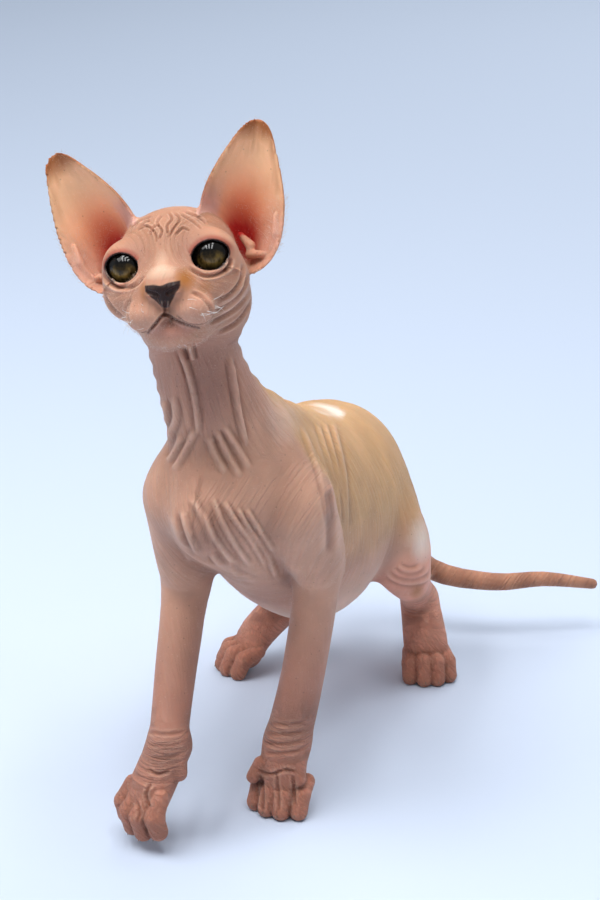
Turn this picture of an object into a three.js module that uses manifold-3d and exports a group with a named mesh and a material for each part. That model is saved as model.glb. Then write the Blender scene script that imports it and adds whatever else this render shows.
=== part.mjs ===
// A young sphynx cat at life size, standing with its right forepaw just lifted.
// Millimetres, +Z up, the cat faces -Y, and +X is the cat's own left side.
import * as THREE from "three";
import Module from "manifold-3d";

// Driving sizes
const BODY_GAP = 0.3;
const FLOOR = 0;
const PART_CENTRE = [22.22, 39.5];

// Sections of the body: x, y, z of the centre, half width, half height
const TRUNK = [
  [0, -74, 150, 17, 17],
  [0, -58, 150, 26, 26],
  [0, -30, 145, 33, 34],
  [0, 8, 127.5, 38.5, 44.5],
  [0, 44, 109, 42, 51],
  [0, 74, 104, 42, 50],
  [0, 98, 102, 34, 42],
  [0, 118, 100, 21, 26],
];
const KEEL = [
  [0, -64, 137, 12, 12],
  [0, -40, 125, 19, 15],
  [4, -5, 113, 24, 20],
  [9, 36, 97, 31, 37],
];
const WITHERS = [
  [-3, -48, 185, 13, 15],
  [0, -24, 177, 15, 13],
  [0, 4, 164, 14, 12],
];
const NECK = [
  [0, -34, 158, 28, 30],
  [-4, -50, 184, 22, 25],
  [-8, -62, 212, 19, 20],
  [-10, -69, 236, 19, 20],
];
const FORELEG_LEFT = [
  [29, -42, 146, 16, 22],
  [33.5, -28, 118, 12, 16],
  [32.5, -26, 102, 10.2, 12.5],
  [30.5, -37, 64, 9.8, 11],
  [26, -46, 32, 10.5, 11],
];
const FORELEG_RIGHT = [
  [-21, -54, 152, 15, 23],
  [-23.5, -47, 122, 12, 17],
  [-24.5, -43, 100, 10.5, 12.5],
  [-21, -64, 68, 9.2, 10.5],
  [-16, -86, 42, 8.3, 9.4],
];
const HINDLEG_LEFT = [
  [20, 92, 98, 22, 28],
  [35, 82, 84, 18, 22],
  [41.5, 84, 67, 12.8, 13.5],
  [39, 107, 50, 8.6, 11],
  [38.5, 122, 35, 7.9, 9.5],
];
const HINDLEG_RIGHT = [
  [-20, 92, 98, 22, 28],
  [-36, 78, 82, 18, 23],
  [-40, 74, 64, 13.5, 14.5],
  [-32, 94, 47, 9.5, 12],
  [-28, 106, 33, 8.5, 10],
];
const TAIL = [
  [0, 112, 104, 11, 11],
  [2, 136, 88, 8, 8],
  [10, 150, 62, 6.8, 6.8],
  [34, 157, 38, 5.8, 5.8],
  [66, 165, 32, 4.8, 4.8],
  [92, 176, 33, 4.0, 4.0],
  [116, 190, 28, 2.8, 2.8],
];
// Bones that lift the skin: shoulder blades and elbows, each from one end to the other
const BONES = [
  { from: [15, -34, 178.5], to: [28, -46, 150], r: [6, 8] },
  { from: [-15, -34, 178], to: [-26, -57, 150], r: [6, 7] },
  { from: [33.5, -16, 115], to: [32.5, -23, 105], r: [6, 7] },
  { from: [-24, -34, 113], to: [-24, -41, 103], r: [6, 7] },
];
// Paws: wrist, middle of the toes, spacing of the toes, and the way the toes point
const PAWS = {
  forepaw_left: { wrist: [26, -46, 32], toe: [25, -56, 8.0], spread: 6.0, aim: [-0.1, -1, 0] },
  forepaw_right: { wrist: [-15, -86, 42], toe: [-22.6, -104.5, 14.8], spread: 6.2, aim: [-0.34, -0.66, -0.66] },
  hindpaw_left: { wrist: [38, 122, 35], toe: [51, 99, 7.8], spread: 5.6, aim: [0.5, -1, 0] },
  hindpaw_right: { wrist: [-28, 106, 33], toe: [-50, 76, 7.6], spread: 5.6, aim: [-0.8, -0.75, 0] },
};
// Half-thicknesses of a paw
const PALM_RADIUS = 10;
const TOE_RADIUS = 4.4;

// The head: place of its own frame, and how far it turns, tips and leans
const HEAD_AT = [-12.3, -74.7, 258];
const HEAD_TURN = 13.2;
const HEAD_TIP = 10.1;
const HEAD_LEAN = 9.9;

// Head shapes in the head's frame: x to its left, y forward, z up; given for the left half
const SKULL = { at: [0, -8, 4], r: [25, 29, 21] };
const CHEEK = { at: [17, 4, -7], r: [13.5, 19, 13] };
const BRIDGE = { from: [0, 10, 8], to: [0, 29, -4], r: [9, 6.2] };
const MUZZLE = { at: [6, 17, -9], r: [12, 15, 10] };
const PAD = { at: [8.9, 25.8, -16], r: [9.3, 8.7, 7.3] };
const CHIN = { at: [0, 22.5, -24.4], r: [9, 8, 6] };
const JAW = { from: [6, 17, -23], to: [14, -8, -16], r: [8, 10] };
const NOSE = { at: [0, 32.6, -6.2], r: [6.2, 4.2, 3.2] };
const NOSE_TIP = { at: [0, 33.2, -9.4], r: [3, 3.4, 4.2] };
const NOSE_WING = { at: [4.6, 32.8, -6.8], r: [2.4, 3, 2.3] };
const LEFT_JOWL = { at: [15.5, -14, -16.5], r: [11.5, 14, 15] };
const MOUTH_LINE = [
  [0, 36, -16.5],
  [5, 34.5, -20],
  [10, 31, -23],
  [15, 24.5, -24],
];
const PHILTRUM = [
  [0, 37, -12.5],
  [0, 37, -16.5],
];
const NOSTRIL = [
  [2.4, 38, -8.2],
  [4.2, 37, -7.4],
  [6.0, 35, -6.4],
];

// Eyes
const EYE_AT = [17.4, 12.2, 3.8];
const RIGHT_EYE_INWARD = 0.9;
const EYE_RADIUS = 9.6;
const CORNEA_RADIUS = 6.7;
const CORNEA_RISE = 3.6;
const EYE_GAZE = [0.16, 1, 0.02];
const EYE_BACK = 1.5;
const LID_THICKNESS = 1.5;
const LID_HALF_WIDTH = 8.0;
const LID_HEIGHT = 5.9;
const LID_TILT = 8;

// Ears: height up the ear, inner edge, outer edge, depth of the cup
const EAR_SECTIONS = [
  [-13, 3, 9, 9],
  [-10, -5, 12.5, 13],
  [-5, -12, 15.6, 16.5],
  [2, -16.2, 17.4, 17],
  [10, -18, 17.5, 14.5],
  [20, -17, 16, 10.5],
  [30, -13.8, 12.8, 7.2],
  [38, -10.2, 9.6, 5],
  [44, -7.2, 7, 3.6],
  [47.6, -4.6, 4.6, 2.8],
  [49.6, -1.6, 1.6, 2.4],
];
const EAR_AT = [27, -6, 8];
const EAR_TILT_LEFT = 17.6;
const EAR_TILT_RIGHT = 22.4;
const EAR_LEAN_BACK = 5.8;
const EAR_THICKNESS = 2.0;

// Colours
const SKIN_COLOUR = 0xcfa897;
const EAR_COLOUR = 0xdba48c;
const PAW_COLOUR = 0xa9806f;
const EYE_COLOUR = 0x2a2417;

// Vector helpers
const add = (a, b) => [a[0] + b[0], a[1] + b[1], a[2] + b[2]];
const sub = (a, b) => [a[0] - b[0], a[1] - b[1], a[2] - b[2]];
const mul = (a, k) => [a[0] * k, a[1] * k, a[2] * k];
const dot = (a, b) => a[0] * b[0] + a[1] * b[1] + a[2] * b[2];
const cross = (a, b) => [a[1] * b[2] - a[2] * b[1], a[2] * b[0] - a[0] * b[2], a[0] * b[1] - a[1] * b[0]];
const length = (a) => Math.hypot(a[0], a[1], a[2]);
const unit = (a) => mul(a, 1 / length(a));
const mix = (a, b, t) => a + (b - a) * t;
const clamp = (v, low, high) => Math.min(Math.max(v, low), high);
const radians = (degrees) => (degrees * Math.PI) / 180;

// A frame holds an origin and three axes
const inward = (f, p) => {
  const q = sub(p, f.at);
  return [dot(q, f.x), dot(q, f.y), dot(q, f.z)];
};
const outward = (f, q) => add(f.at, add(add(mul(f.x, q[0]), mul(f.y, q[1])), mul(f.z, q[2])));
const WORLD = { at: [0, 0, 0], x: [1, 0, 0], y: [0, 1, 0], z: [0, 0, 1] };

function headFrame() {
  const a = radians(HEAD_TURN);
  const p = radians(HEAD_TIP);
  const r = radians(HEAD_LEAN);
  const forward = [Math.sin(a) * Math.cos(p), -Math.cos(a) * Math.cos(p), Math.sin(p)];
  const level = mul(unit(cross(forward, [0, 0, 1])), -1);
  const up = mul(cross(level, forward), -1);
  return {
    at: HEAD_AT,
    x: add(mul(level, Math.cos(r)), mul(up, Math.sin(r))),
    y: forward,
    z: sub(mul(up, Math.cos(r)), mul(level, Math.sin(r))),
  };
}
const HEAD = headFrame();

// Distance to simple shapes, and soft joins between them
function join(a, b, soft) {
  const h = Math.max(soft - Math.abs(a - b), 0) / soft;
  return Math.min(a, b) - h * h * soft * 0.25;
}
const carve = (a, b, soft) => -join(-a, b, soft);

function ellipsoid(p, at, r) {
  const q = sub(p, at);
  const k0 = Math.hypot(q[0] / r[0], q[1] / r[1], q[2] / r[2]);
  const k1 = Math.hypot(q[0] / r[0] ** 2, q[1] / r[1] ** 2, q[2] / r[2] ** 2);
  return k1 < 1e-9 ? -Math.min(...r) : (k0 * (k0 - 1)) / k1;
}

function capsule(p, from, to, r) {
  const along = sub(to, from);
  const q = sub(p, from);
  const t = clamp(dot(q, along) / dot(along, along), 0, 1);
  return length(sub(q, mul(along, t))) - mix(r[0], r[1], t);
}

// A smooth curve through rows of numbers
function curve(rows, steps) {
  const out = [];
  for (let i = 0; i + 1 < rows.length; i++) {
    const [a, b, c, d] = [rows[Math.max(i - 1, 0)], rows[i], rows[i + 1], rows[Math.min(i + 2, rows.length - 1)]];
    for (let s = 0; s < steps; s++) {
      const t = s / steps;
      const at = (k) =>
        2 * b[k] + (c[k] - a[k]) * t + (2 * a[k] - 5 * b[k] + 4 * c[k] - d[k]) * t * t +
        (3 * b[k] - a[k] - 3 * c[k] + d[k]) * t ** 3;
      out.push(b.map((_, k) => 0.5 * at(k)));
    }
  }
  out.push(rows[rows.length - 1]);
  return out;
}

// A limb: elliptical sections swept along a curve, as a function that gives distance
function limb(rows, side = [1, 0, 0], steps = 4) {
  const stations = curve(rows, steps);
  const lengths = [];
  for (let i = 0; i + 1 < stations.length; i++) {
    const [a, b] = [stations[i], stations[i + 1]];
    const span = length(sub(b, a));
    const along = mul(sub(b, a), 1 / span);
    const wide = unit(sub(side, mul(along, dot(side, along))));
    const taper = clamp((b[3] + b[4] - a[3] - a[4]) / 2 / span, -0.85, 0.85);
    lengths.push({ a, b, span, along, wide, tall: cross(along, wide), lean: taper / Math.sqrt(1 - taper ** 2) });
  }
  const low = [0, 1, 2].map((k) => Math.min(...rows.map((r) => r[k])));
  const high = [0, 1, 2].map((k) => Math.max(...rows.map((r) => r[k])));
  const centre = mul(add(low, high), 0.5);
  const reach = Math.max(...rows.map((r) => length(sub(r, centre)))) + Math.max(...rows.map((r) => Math.max(r[3], r[4])));
  return (p) => {
    const far = length(sub(p, centre)) - reach;
    if (far > 22) return far;
    let best = Infinity;
    for (const s of lengths) {
      const q = sub(p, s.a);
      const z = dot(q, s.along);
      const x = dot(q, s.wide);
      const y = dot(q, s.tall);
      const t = clamp((z + Math.hypot(x, y) * s.lean) / s.span, 0, 1);
      const w = mix(s.a[3], s.b[3], t);
      const h = mix(s.a[4], s.b[4], t);
      const e = Math.sqrt(w * h);
      const dz = z - t * s.span;
      const k0 = Math.hypot(x / w, y / h, dz / e);
      const k1 = Math.hypot(x / w ** 2, y / h ** 2, dz / e ** 2);
      best = Math.min(best, k1 < 1e-9 ? -e : (k0 * (k0 - 1)) / k1);
    }
    return best;
  };
}

// A paw: a flattened palm and four toes, each of two joints
function paw({ wrist, toe, spread, aim }) {
  const ahead = unit(aim);
  const across = unit(cross(ahead, [0, 0, 1]));
  const over = cross(across, ahead);
  const middle = add(wrist, mul(sub(toe, wrist), 0.55));
  const front = add(sub(toe, mul(ahead, 8)), mul(over, 1.5));
  const r = PALM_RADIUS;
  const palm = limb([[...wrist, r, r], [...middle, r * 1.15, r * 0.85], [...front, r * 1.15, r * 0.7]], across);
  const toes = [-1.5, -0.5, 0.5, 1.5].map((place) => {
    const back = Math.abs(place);
    const at = (out, on, up) => add(add(add(toe, mul(across, place * spread * out)), mul(ahead, on)), mul(over, up));
    return {
      base: at(1.05, -8 - 2 * back, 5),
      knuckle: at(1.15, 2 - 3 * back, 3.6 - back),
      tip: at(1.2, 6 - 3.4 * back, -4.3),
    };
  });
  const centre = mul(add(wrist, toe), 0.5);
  return (p) => {
    const far = length(sub(p, centre)) - 34;
    if (far > 10) return far;
    let d = palm(p);
    for (const t of toes) {
      const bone = capsule(p, t.base, t.knuckle, [TOE_RADIUS - 0.6, TOE_RADIUS]);
      const end = capsule(p, t.knuckle, t.tip, [TOE_RADIUS, TOE_RADIUS - 0.1]);
      d = join(d, join(bone, end, 1.2), 1.2);
    }
    return d;
  };
}

// A point of the left half taken to one side, and the eye's place on each side
const mirrored = (p, sign) => [p[0] * sign, p[1], p[2]];
const eyeAt = (sign) => (sign > 0 ? EYE_AT : sub(EYE_AT, [RIGHT_EYE_INWARD, 0, 0]));

// The head without its ears, sockets and mouth
function headShape(p) {
  const far = length(sub(p, HEAD.at)) - 46;
  if (far > 20) return far;
  const q = inward(HEAD, p);
  const m = [Math.abs(q[0]), q[1], q[2]];
  let d = ellipsoid(m, SKULL.at, SKULL.r);
  d = join(d, ellipsoid(m, CHEEK.at, CHEEK.r), 8);
  d = join(d, capsule(m, BRIDGE.from, BRIDGE.to, BRIDGE.r), 8);
  d = join(d, ellipsoid(m, MUZZLE.at, MUZZLE.r), 8);
  d = join(d, ellipsoid(m, PAD.at, PAD.r), 3);
  d = join(d, ellipsoid(m, CHIN.at, CHIN.r), 3);
  d = join(d, capsule(m, JAW.from, JAW.to, JAW.r), 6);
  d = join(d, length(sub(m, eyeAt(q[0]))) - EYE_RADIUS - LID_THICKNESS, 6);
  d = join(d, ellipsoid(q, LEFT_JOWL.at, LEFT_JOWL.r), 8);
  d = join(d, ellipsoid(m, NOSE.at, NOSE.r), 3);
  d = join(d, ellipsoid(m, NOSE_TIP.at, NOSE_TIP.r), 1.5);
  return join(d, ellipsoid(m, NOSE_WING.at, NOSE_WING.r), 1.5);
}

// The whole skin without the ears
const bodyShapes = [
  [limb(TRUNK), 0],
  [limb(KEEL), 8],
  [limb(NECK), 16],
  [limb(WITHERS), 12],
  [limb(FORELEG_LEFT), 8],
  [limb(FORELEG_RIGHT), 8],
  [limb(HINDLEG_LEFT), 8],
  [limb(HINDLEG_RIGHT), 8],
  ...BONES.map((b) => [(p) => capsule(p, b.from, b.to, b.r), 8]),
  ...Object.values(PAWS).map((p) => [paw(p), 4]),
  [limb(TAIL), 6],
  [headShape, 7],
];
function skin(p) {
  let d = bodyShapes[0][0](p);
  for (const [shape, soft] of bodyShapes.slice(1)) d = join(d, shape(p), soft);
  return d;
}

const wasm = await Module();
wasm.setup();
const solid = (points, triangles) =>
  new wasm.Manifold(
    new wasm.Mesh({
      numProp: 3,
      vertProperties: new Float32Array(points.flat()),
      triVerts: new Uint32Array(triangles.flat()),
    }),
  );

// True where a surface touches itself along an edge
function pinched(triangles) {
  const uses = new Map();
  for (const [a, b, c] of triangles)
    for (const [p, q] of [[a, b], [b, c], [c, a]]) {
      const key = Math.min(p, q) + "_" + Math.max(p, q);
      uses.set(key, (uses.get(key) || 0) + 1);
    }
  return [...uses.values()].some((n) => n !== 2);
}

// Faces made in a mirrored frame are turned round
const turnedOut = (frame, faces) =>
  dot(cross(frame.x, frame.y), frame.z) > 0 ? faces : faces.map(([a, b, c]) => [a, c, b]);

// A skin surface from a distance function, on grid lines given along the three axes of a frame
function surface(field, frame, lines) {
  const [xs, ys, zs] = lines;
  const [nx, ny, nz] = [xs.length, ys.length, zs.length];
  const index = (i, j, k) => (k * ny + j) * nx + i;
  const value = new Float64Array(nx * ny * nz);
  for (let k = 0; k < nz; k++)
    for (let j = 0; j < ny; j++)
      for (let i = 0; i < nx; i++) {
        const rim = i === 0 || j === 0 || k === 0 || i === nx - 1 || j === ny - 1 || k === nz - 1;
        const d = field(outward(frame, [xs[i], ys[j], zs[k]]));
        value[index(i, j, k)] = rim ? Math.max(d, 0.5) : d;
      }
  const points = [];
  const cellPoint = new Map();
  const pointOf = (i, j, k) => {
    const key = index(i, j, k);
    if (cellPoint.has(key)) return cellPoint.get(key);
    let sum = [0, 0, 0];
    let count = 0;
    for (let a = 0; a < 8; a++)
      for (let axis = 0; axis < 3; axis++) {
        if (a & (1 << axis)) continue;
        const b = a | (1 << axis);
        const ca = [i + (a & 1), j + ((a >> 1) & 1), k + ((a >> 2) & 1)];
        const cb = [i + (b & 1), j + ((b >> 1) & 1), k + ((b >> 2) & 1)];
        const va = value[index(...ca)];
        const vb = value[index(...cb)];
        if (va < 0 === vb < 0) continue;
        const t = va / (va - vb);
        sum = add(sum, [mix(xs[ca[0]], xs[cb[0]], t), mix(ys[ca[1]], ys[cb[1]], t), mix(zs[ca[2]], zs[cb[2]], t)]);
        count++;
      }
    const size = Math.min(xs[i + 1] - xs[i], ys[j + 1] - ys[j], zs[k + 1] - zs[k]);
    const made = settle(field, outward(frame, mul(sum, 1 / count)), size * 0.6);
    points.push(made);
    cellPoint.set(key, points.length - 1);
    return points.length - 1;
  };
  const triangles = [];
  const quad = (a, b, c, d, flip) => {
    const ring = flip ? [d, c, b, a] : [a, b, c, d];
    const p = ring.map((n) => points[n]);
    if (length(sub(p[0], p[2])) <= length(sub(p[1], p[3])))
      triangles.push([ring[0], ring[1], ring[2]], [ring[0], ring[2], ring[3]]);
    else triangles.push([ring[1], ring[2], ring[3]], [ring[1], ring[3], ring[0]]);
  };
  for (let k = 0; k < nz - 1; k++)
    for (let j = 0; j < ny - 1; j++)
      for (let i = 0; i < nx - 1; i++) {
        const here = value[index(i, j, k)] < 0;
        if (j > 0 && k > 0 && here !== value[index(i + 1, j, k)] < 0)
          quad(pointOf(i, j - 1, k - 1), pointOf(i, j, k - 1), pointOf(i, j, k), pointOf(i, j - 1, k), !here);
        if (i > 0 && k > 0 && here !== value[index(i, j + 1, k)] < 0)
          quad(pointOf(i - 1, j, k - 1), pointOf(i - 1, j, k), pointOf(i, j, k), pointOf(i, j, k - 1), !here);
        if (i > 0 && j > 0 && here !== value[index(i, j, k + 1)] < 0)
          quad(pointOf(i - 1, j - 1, k), pointOf(i, j - 1, k), pointOf(i, j, k), pointOf(i - 1, j, k), !here);
      }
  return pinched(triangles) ? null : solid(points, turnedOut(frame, triangles));
}

// Moves a point onto the surface of a distance function, by no more than a given reach
function settle(field, start, reach) {
  let p = start;
  for (let turn = 0; turn < 3; turn++) {
    const d = field(p);
    if (Math.abs(d) > reach) return start;
    const e = 0.05;
    const slope = [
      field(add(p, [e, 0, 0])) - field(sub(p, [e, 0, 0])),
      field(add(p, [0, e, 0])) - field(sub(p, [0, e, 0])),
      field(add(p, [0, 0, e])) - field(sub(p, [0, 0, e])),
    ].map((v) => v / (2 * e));
    const steep = Math.max(dot(slope, slope), 0.2);
    p = sub(p, mul(slope, d / steep));
  }
  return length(sub(p, start)) > reach * 1.5 ? start : p;
}

// Grid lines with their own spacing over each stretch
function lines(...stretches) {
  const out = [stretches[0][0]];
  for (const [from, to, step] of stretches) {
    const count = Math.max(1, Math.round((to - from) / step));
    for (let n = 1; n <= count; n++) out.push(mix(from, to, n / count));
  }
  return out;
}

// A box from one point to another with two half widths, as a frame and its half sizes
function cell(from, to, side, halfSide, halfAcross) {
  const span = length(sub(to, from));
  const z = mul(sub(to, from), 1 / span);
  const x = unit(sub(side, mul(z, dot(side, z))));
  return { at: mul(add(from, to), 0.5), x, y: cross(z, x), z, half: [halfSide, halfAcross, span / 2] };
}
function block(c, grow) {
  const points = [];
  for (let n = 0; n < 8; n++)
    points.push(outward(c, c.half.map((h, k) => (h + grow) * (n & (1 << k) ? 1 : -1))));
  const faces = [[0, 2, 3, 1], [4, 5, 7, 6], [0, 1, 5, 4], [2, 6, 7, 3], [0, 4, 6, 2], [1, 3, 7, 5]];
  return solid(points, turnedOut(c, faces.flatMap(([a, b, d, e]) => [[a, b, d], [a, d, e]])));
}

// The lengths the body is divided into, from the ones cut first to the one that keeps the rest
const SIDE = [1, 0, 0];
const CELLS = [
  ["tail_tip", cell([68, 165.5, 33], [130, 200, 24], [0, 0, 1], 12, 12), 4.2],
  ["tail_middle", cell([13, 151.5, 57], [72, 167, 33], [0, 0, 1], 14, 14), 4.6],
  ["tail_base", cell([0.5, 124, 97], [13, 152, 52], SIDE, 16, 15), 5.2],
  ["forepaw_left", cell([25.5, -48, 27], [23, -58, -8], SIDE, 21, 24), 3.8],
  ["forepaw_right", cell([-15.5, -87.5, 40], [-29, -111, -2], SIDE, 22, 22), 3.8],
  ["hindpaw_left", cell([39, 121, 32], [51, 96, -10], SIDE, 21, 24), 3.8],
  ["hindpaw_right", cell([-29, 106, 31], [-51, 74, -10], SIDE, 24, 24), 3.8],
  ["foreleg_left", cell([36.5, -25, 106], [26, -46, 22], SIDE, 16, 18), 6],
  ["foreleg_right", cell([-26, -41, 104], [-14, -88, 34], SIDE, 15, 17), 6],
  ["shank_left", cell([43, 80, 62], [37, 128, 28], SIDE, 16, 20), 5.4],
  ["shank_right", cell([-40, 70, 62], [-27, 113, 26], SIDE, 16, 20), 5.4],
  ["thigh_left", cell([44, 80, 112], [44, 86, 40], SIDE, 21, 34), 7.6],
  ["thigh_right", cell([-44, 76, 112], [-44, 80, 40], SIDE, 21, 34), 7.6],
];
const HEAD_CELL = { ...HEAD, at: outward(HEAD, [0, 0, 9]), half: [60, 60, 40.5] };
HEAD_CELL.y = unit(sub(HEAD.y, mul(HEAD.z, 0.1)));
HEAD_CELL.z = cross(HEAD_CELL.x, HEAD_CELL.y);
const NECK_CELL = cell([-3, -46, 184], [-14, -76, 244], SIDE, 48, 44);
const REAR_CELL = cell([0, 32, 110], [0, 160, 110], SIDE, 70, 70);

// The solid of one cell: the skin inside it, less the cells cut before it
function part(c, size, before, field = skin) {
  let whole = null;
  for (let shift = 0; !whole; shift += size * 0.071) {
    if (shift > size) throw new Error("no clean grid for a cell");
    const spread = [0, 1, 2].map((k) => lines([-c.half[k] - 3 * size + shift, c.half[k] + 2.2 * size + shift, size]));
    whole = surface(field, c, spread);
  }
  let body = whole.intersect(block(c, -BODY_GAP / 2));
  for (const other of before) body = body.subtract(block(other, BODY_GAP / 2));
  return body;
}
const floorBlock = block({ ...WORLD, at: [0, 0, FLOOR - 40], half: [300, 300, 40] }, 0);
function largest(body) {
  const pieces = body.decompose();
  return pieces.reduce((a, b) => (a.volume() > b.volume() ? a : b));
}

// Points nearer than this become one, so no sliver of a cut is left
const NEAREST_POINTS = 0.08;
function withoutSlivers(body) {
  const mesh = body.getMesh();
  const at = (n) => Array.from(mesh.vertProperties.subarray(n * mesh.numProp, n * mesh.numProp + 3));
  const points = Array.from({ length: mesh.numVert }, (_, n) => at(n));
  const stands = points.map((_, n) => n);
  const root = (n) => {
    while (stands[n] !== n) n = stands[n];
    return n;
  };
  const corners = [];
  for (let n = 0; n < mesh.triVerts.length; n += 3) corners.push(Array.from(mesh.triVerts.subarray(n, n + 3)));
  for (const [a, b, c] of corners)
    for (const [from, to] of [[a, b], [b, c], [c, a]])
      if (length(sub(points[from], points[to])) < NEAREST_POINTS) stands[root(from)] = root(to);
  const kept = corners.map((t) => t.map(root)).filter(([a, b, c]) => a !== b && b !== c && c !== a);
  const numbers = new Map();
  const used = [];
  for (const n of kept.flat())
    if (!numbers.has(n)) {
      numbers.set(n, used.length);
      used.push(points[n]);
    }
  try {
    return solid(used, kept.map((t) => t.map((n) => numbers.get(n))));
  } catch (trouble) {
    return body;
  }
}

// A closed tube through points, for the grooves of the mouth and the nostrils
function tube(points, radii, sides = 6) {
  const path = curve(points.map((p, n) => [...p, radii[n]]), 3);
  const verts = [];
  const faces = [];
  path.forEach((at, n) => {
    const along = unit(sub(path[Math.min(n + 1, path.length - 1)], path[Math.max(n - 1, 0)]));
    const x = unit(cross(along, [0.1, 0.2, 1]));
    const y = cross(along, x);
    for (let s = 0; s < sides; s++) {
      const turn = (2 * Math.PI * s) / sides;
      verts.push(add(at, add(mul(x, at[3] * Math.cos(turn)), mul(y, at[3] * Math.sin(turn)))));
    }
  });
  for (let n = 0; n + 1 < path.length; n++)
    for (let s = 0; s < sides; s++) {
      const [a, b] = [n * sides + s, n * sides + ((s + 1) % sides)];
      faces.push([a, b, b + sides], [a, b + sides, a + sides]);
    }
  verts.push(path[0].slice(0, 3), path[path.length - 1].slice(0, 3));
  const last = (path.length - 1) * sides;
  for (let s = 0; s < sides; s++) {
    const next = (s + 1) % sides;
    faces.push([verts.length - 2, next, s], [verts.length - 1, last + s, last + next]);
  }
  return solid(verts, faces);
}

// A turned solid from a profile of radius and height, round the z axis of a frame
function turned(profile, frame, sides) {
  const inner = profile.slice(1, -1);
  const verts = inner.flatMap(([r, h]) =>
    Array.from({ length: sides }, (_, s) => {
      const turn = (2 * Math.PI * s) / sides;
      return outward(frame, [r * Math.cos(turn), r * Math.sin(turn), h]);
    }),
  );
  verts.push(outward(frame, [0, 0, profile[0][1]]), outward(frame, [0, 0, profile[profile.length - 1][1]]));
  const faces = [];
  for (let n = 0; n + 1 < inner.length; n++)
    for (let s = 0; s < sides; s++) {
      const [a, b] = [n * sides + s, n * sides + ((s + 1) % sides)];
      faces.push([a, b, b + sides], [a, b + sides, a + sides]);
    }
  const last = (inner.length - 1) * sides;
  for (let s = 0; s < sides; s++) {
    const next = (s + 1) % sides;
    faces.push([verts.length - 2, next, s], [verts.length - 1, last + s, last + next]);
  }
  return solid(verts, faces);
}

// The eye: the front of the eyeball with its raised cornea, in a socket cut to match
function eyeFrame(sign) {
  const z = unit(EYE_GAZE);
  const x = unit(cross(z, [0, 0, 1]));
  const y = cross(z, x);
  const turn = (v) => sub(outward(HEAD, mirrored(v, sign)), HEAD.at);
  const f = { at: outward(HEAD, mirrored(eyeAt(sign), sign)), x: turn(x), z: turn(z) };
  return { ...f, y: cross(f.z, f.x), up: mul(turn(y), -1) };
}
function eyeSolid(sign, grow) {
  const r = EYE_RADIUS + grow;
  const back = EYE_BACK - grow;
  const meet = (CORNEA_RISE ** 2 + EYE_RADIUS ** 2 - CORNEA_RADIUS ** 2) / (2 * CORNEA_RISE);
  const profile = [[0, back], [Math.sqrt(r * r - back * back), back]];
  for (let h = back + 0.8; h < meet; h += 1.4) profile.push([Math.sqrt(r * r - h * h), h]);
  const c = CORNEA_RADIUS + grow;
  for (let n = 0; n < 5; n++) {
    const h = mix(meet, CORNEA_RISE + c, 1 - (1 - n / 5) ** 2);
    profile.push([Math.sqrt(Math.max(c * c - (h - CORNEA_RISE) ** 2, 0)), h]);
  }
  profile.push([0, CORNEA_RISE + c]);
  return turned(profile, eyeFrame(sign), 18);
}
// The opening between the lids: two arcs that meet at the corners, carried forward from the eye
function lidOpening(sign) {
  const f = eyeFrame(sign);
  const tilt = radians(LID_TILT);
  const rim = [];
  const sides = 24;
  for (let n = 0; n < sides; n++) {
    const turn = (2 * Math.PI * n) / sides;
    const a = LID_HALF_WIDTH * Math.cos(turn);
    const b = LID_HEIGHT * Math.sin(turn) * (0.86 + 0.14 * Math.abs(Math.sin(turn)));
    rim.push([a * Math.cos(tilt) - b * Math.sin(tilt), a * Math.sin(tilt) + b * Math.cos(tilt)]);
  }
  const verts = [EYE_BACK + 1, EYE_RADIUS + 9].flatMap((h) =>
    rim.map(([a, b]) => add(f.at, add(add(mul(f.x, a * 1), mul(f.up, b)), mul(f.z, h)))),
  );
  const faces = [];
  for (let s = 0; s < sides; s++) {
    const next = (s + 1) % sides;
    faces.push([s, next, next + sides], [s, next + sides, s + sides]);
    if (s > 0 && s < sides - 1) faces.push([0, s + 1, s], [sides, sides + s, sides + s + 1]);
  }
  const made = solid(verts, faces);
  return made.volume() > 0 ? made : solid(verts, faces.map(([a, b, c]) => [a, c, b]));
}

// An ear: a cupped sheet with a rolled rim, closed round its edge
const earCurve = curve(EAR_SECTIONS, 8);
function earStation(h) {
  let n = 1;
  while (n < earCurve.length - 1 && earCurve[n][0] < h) n++;
  const [a, b] = [earCurve[n - 1], earCurve[n]];
  const t = clamp((h - a[0]) / (b[0] - a[0]), 0, 1);
  return a.map((v, k) => mix(v, b[k], t));
}
function earFrame(sign) {
  const tilt = radians(sign > 0 ? EAR_TILT_LEFT : EAR_TILT_RIGHT);
  const lean = radians(EAR_LEAN_BACK);
  const up = [Math.sin(tilt) * Math.cos(lean), -Math.sin(lean), Math.cos(tilt) * Math.cos(lean)];
  const side = unit(sub([0.954, -0.18, -0.301], mul(up, dot([0.954, -0.18, -0.301], up))));
  const ahead = cross(up, side);
  const turn = (v) => sub(outward(HEAD, mirrored(v, sign)), HEAD.at);
  return { at: outward(HEAD, mirrored(EAR_AT, sign)), x: turn(side), y: turn(ahead), z: turn(up) };
}
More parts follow.
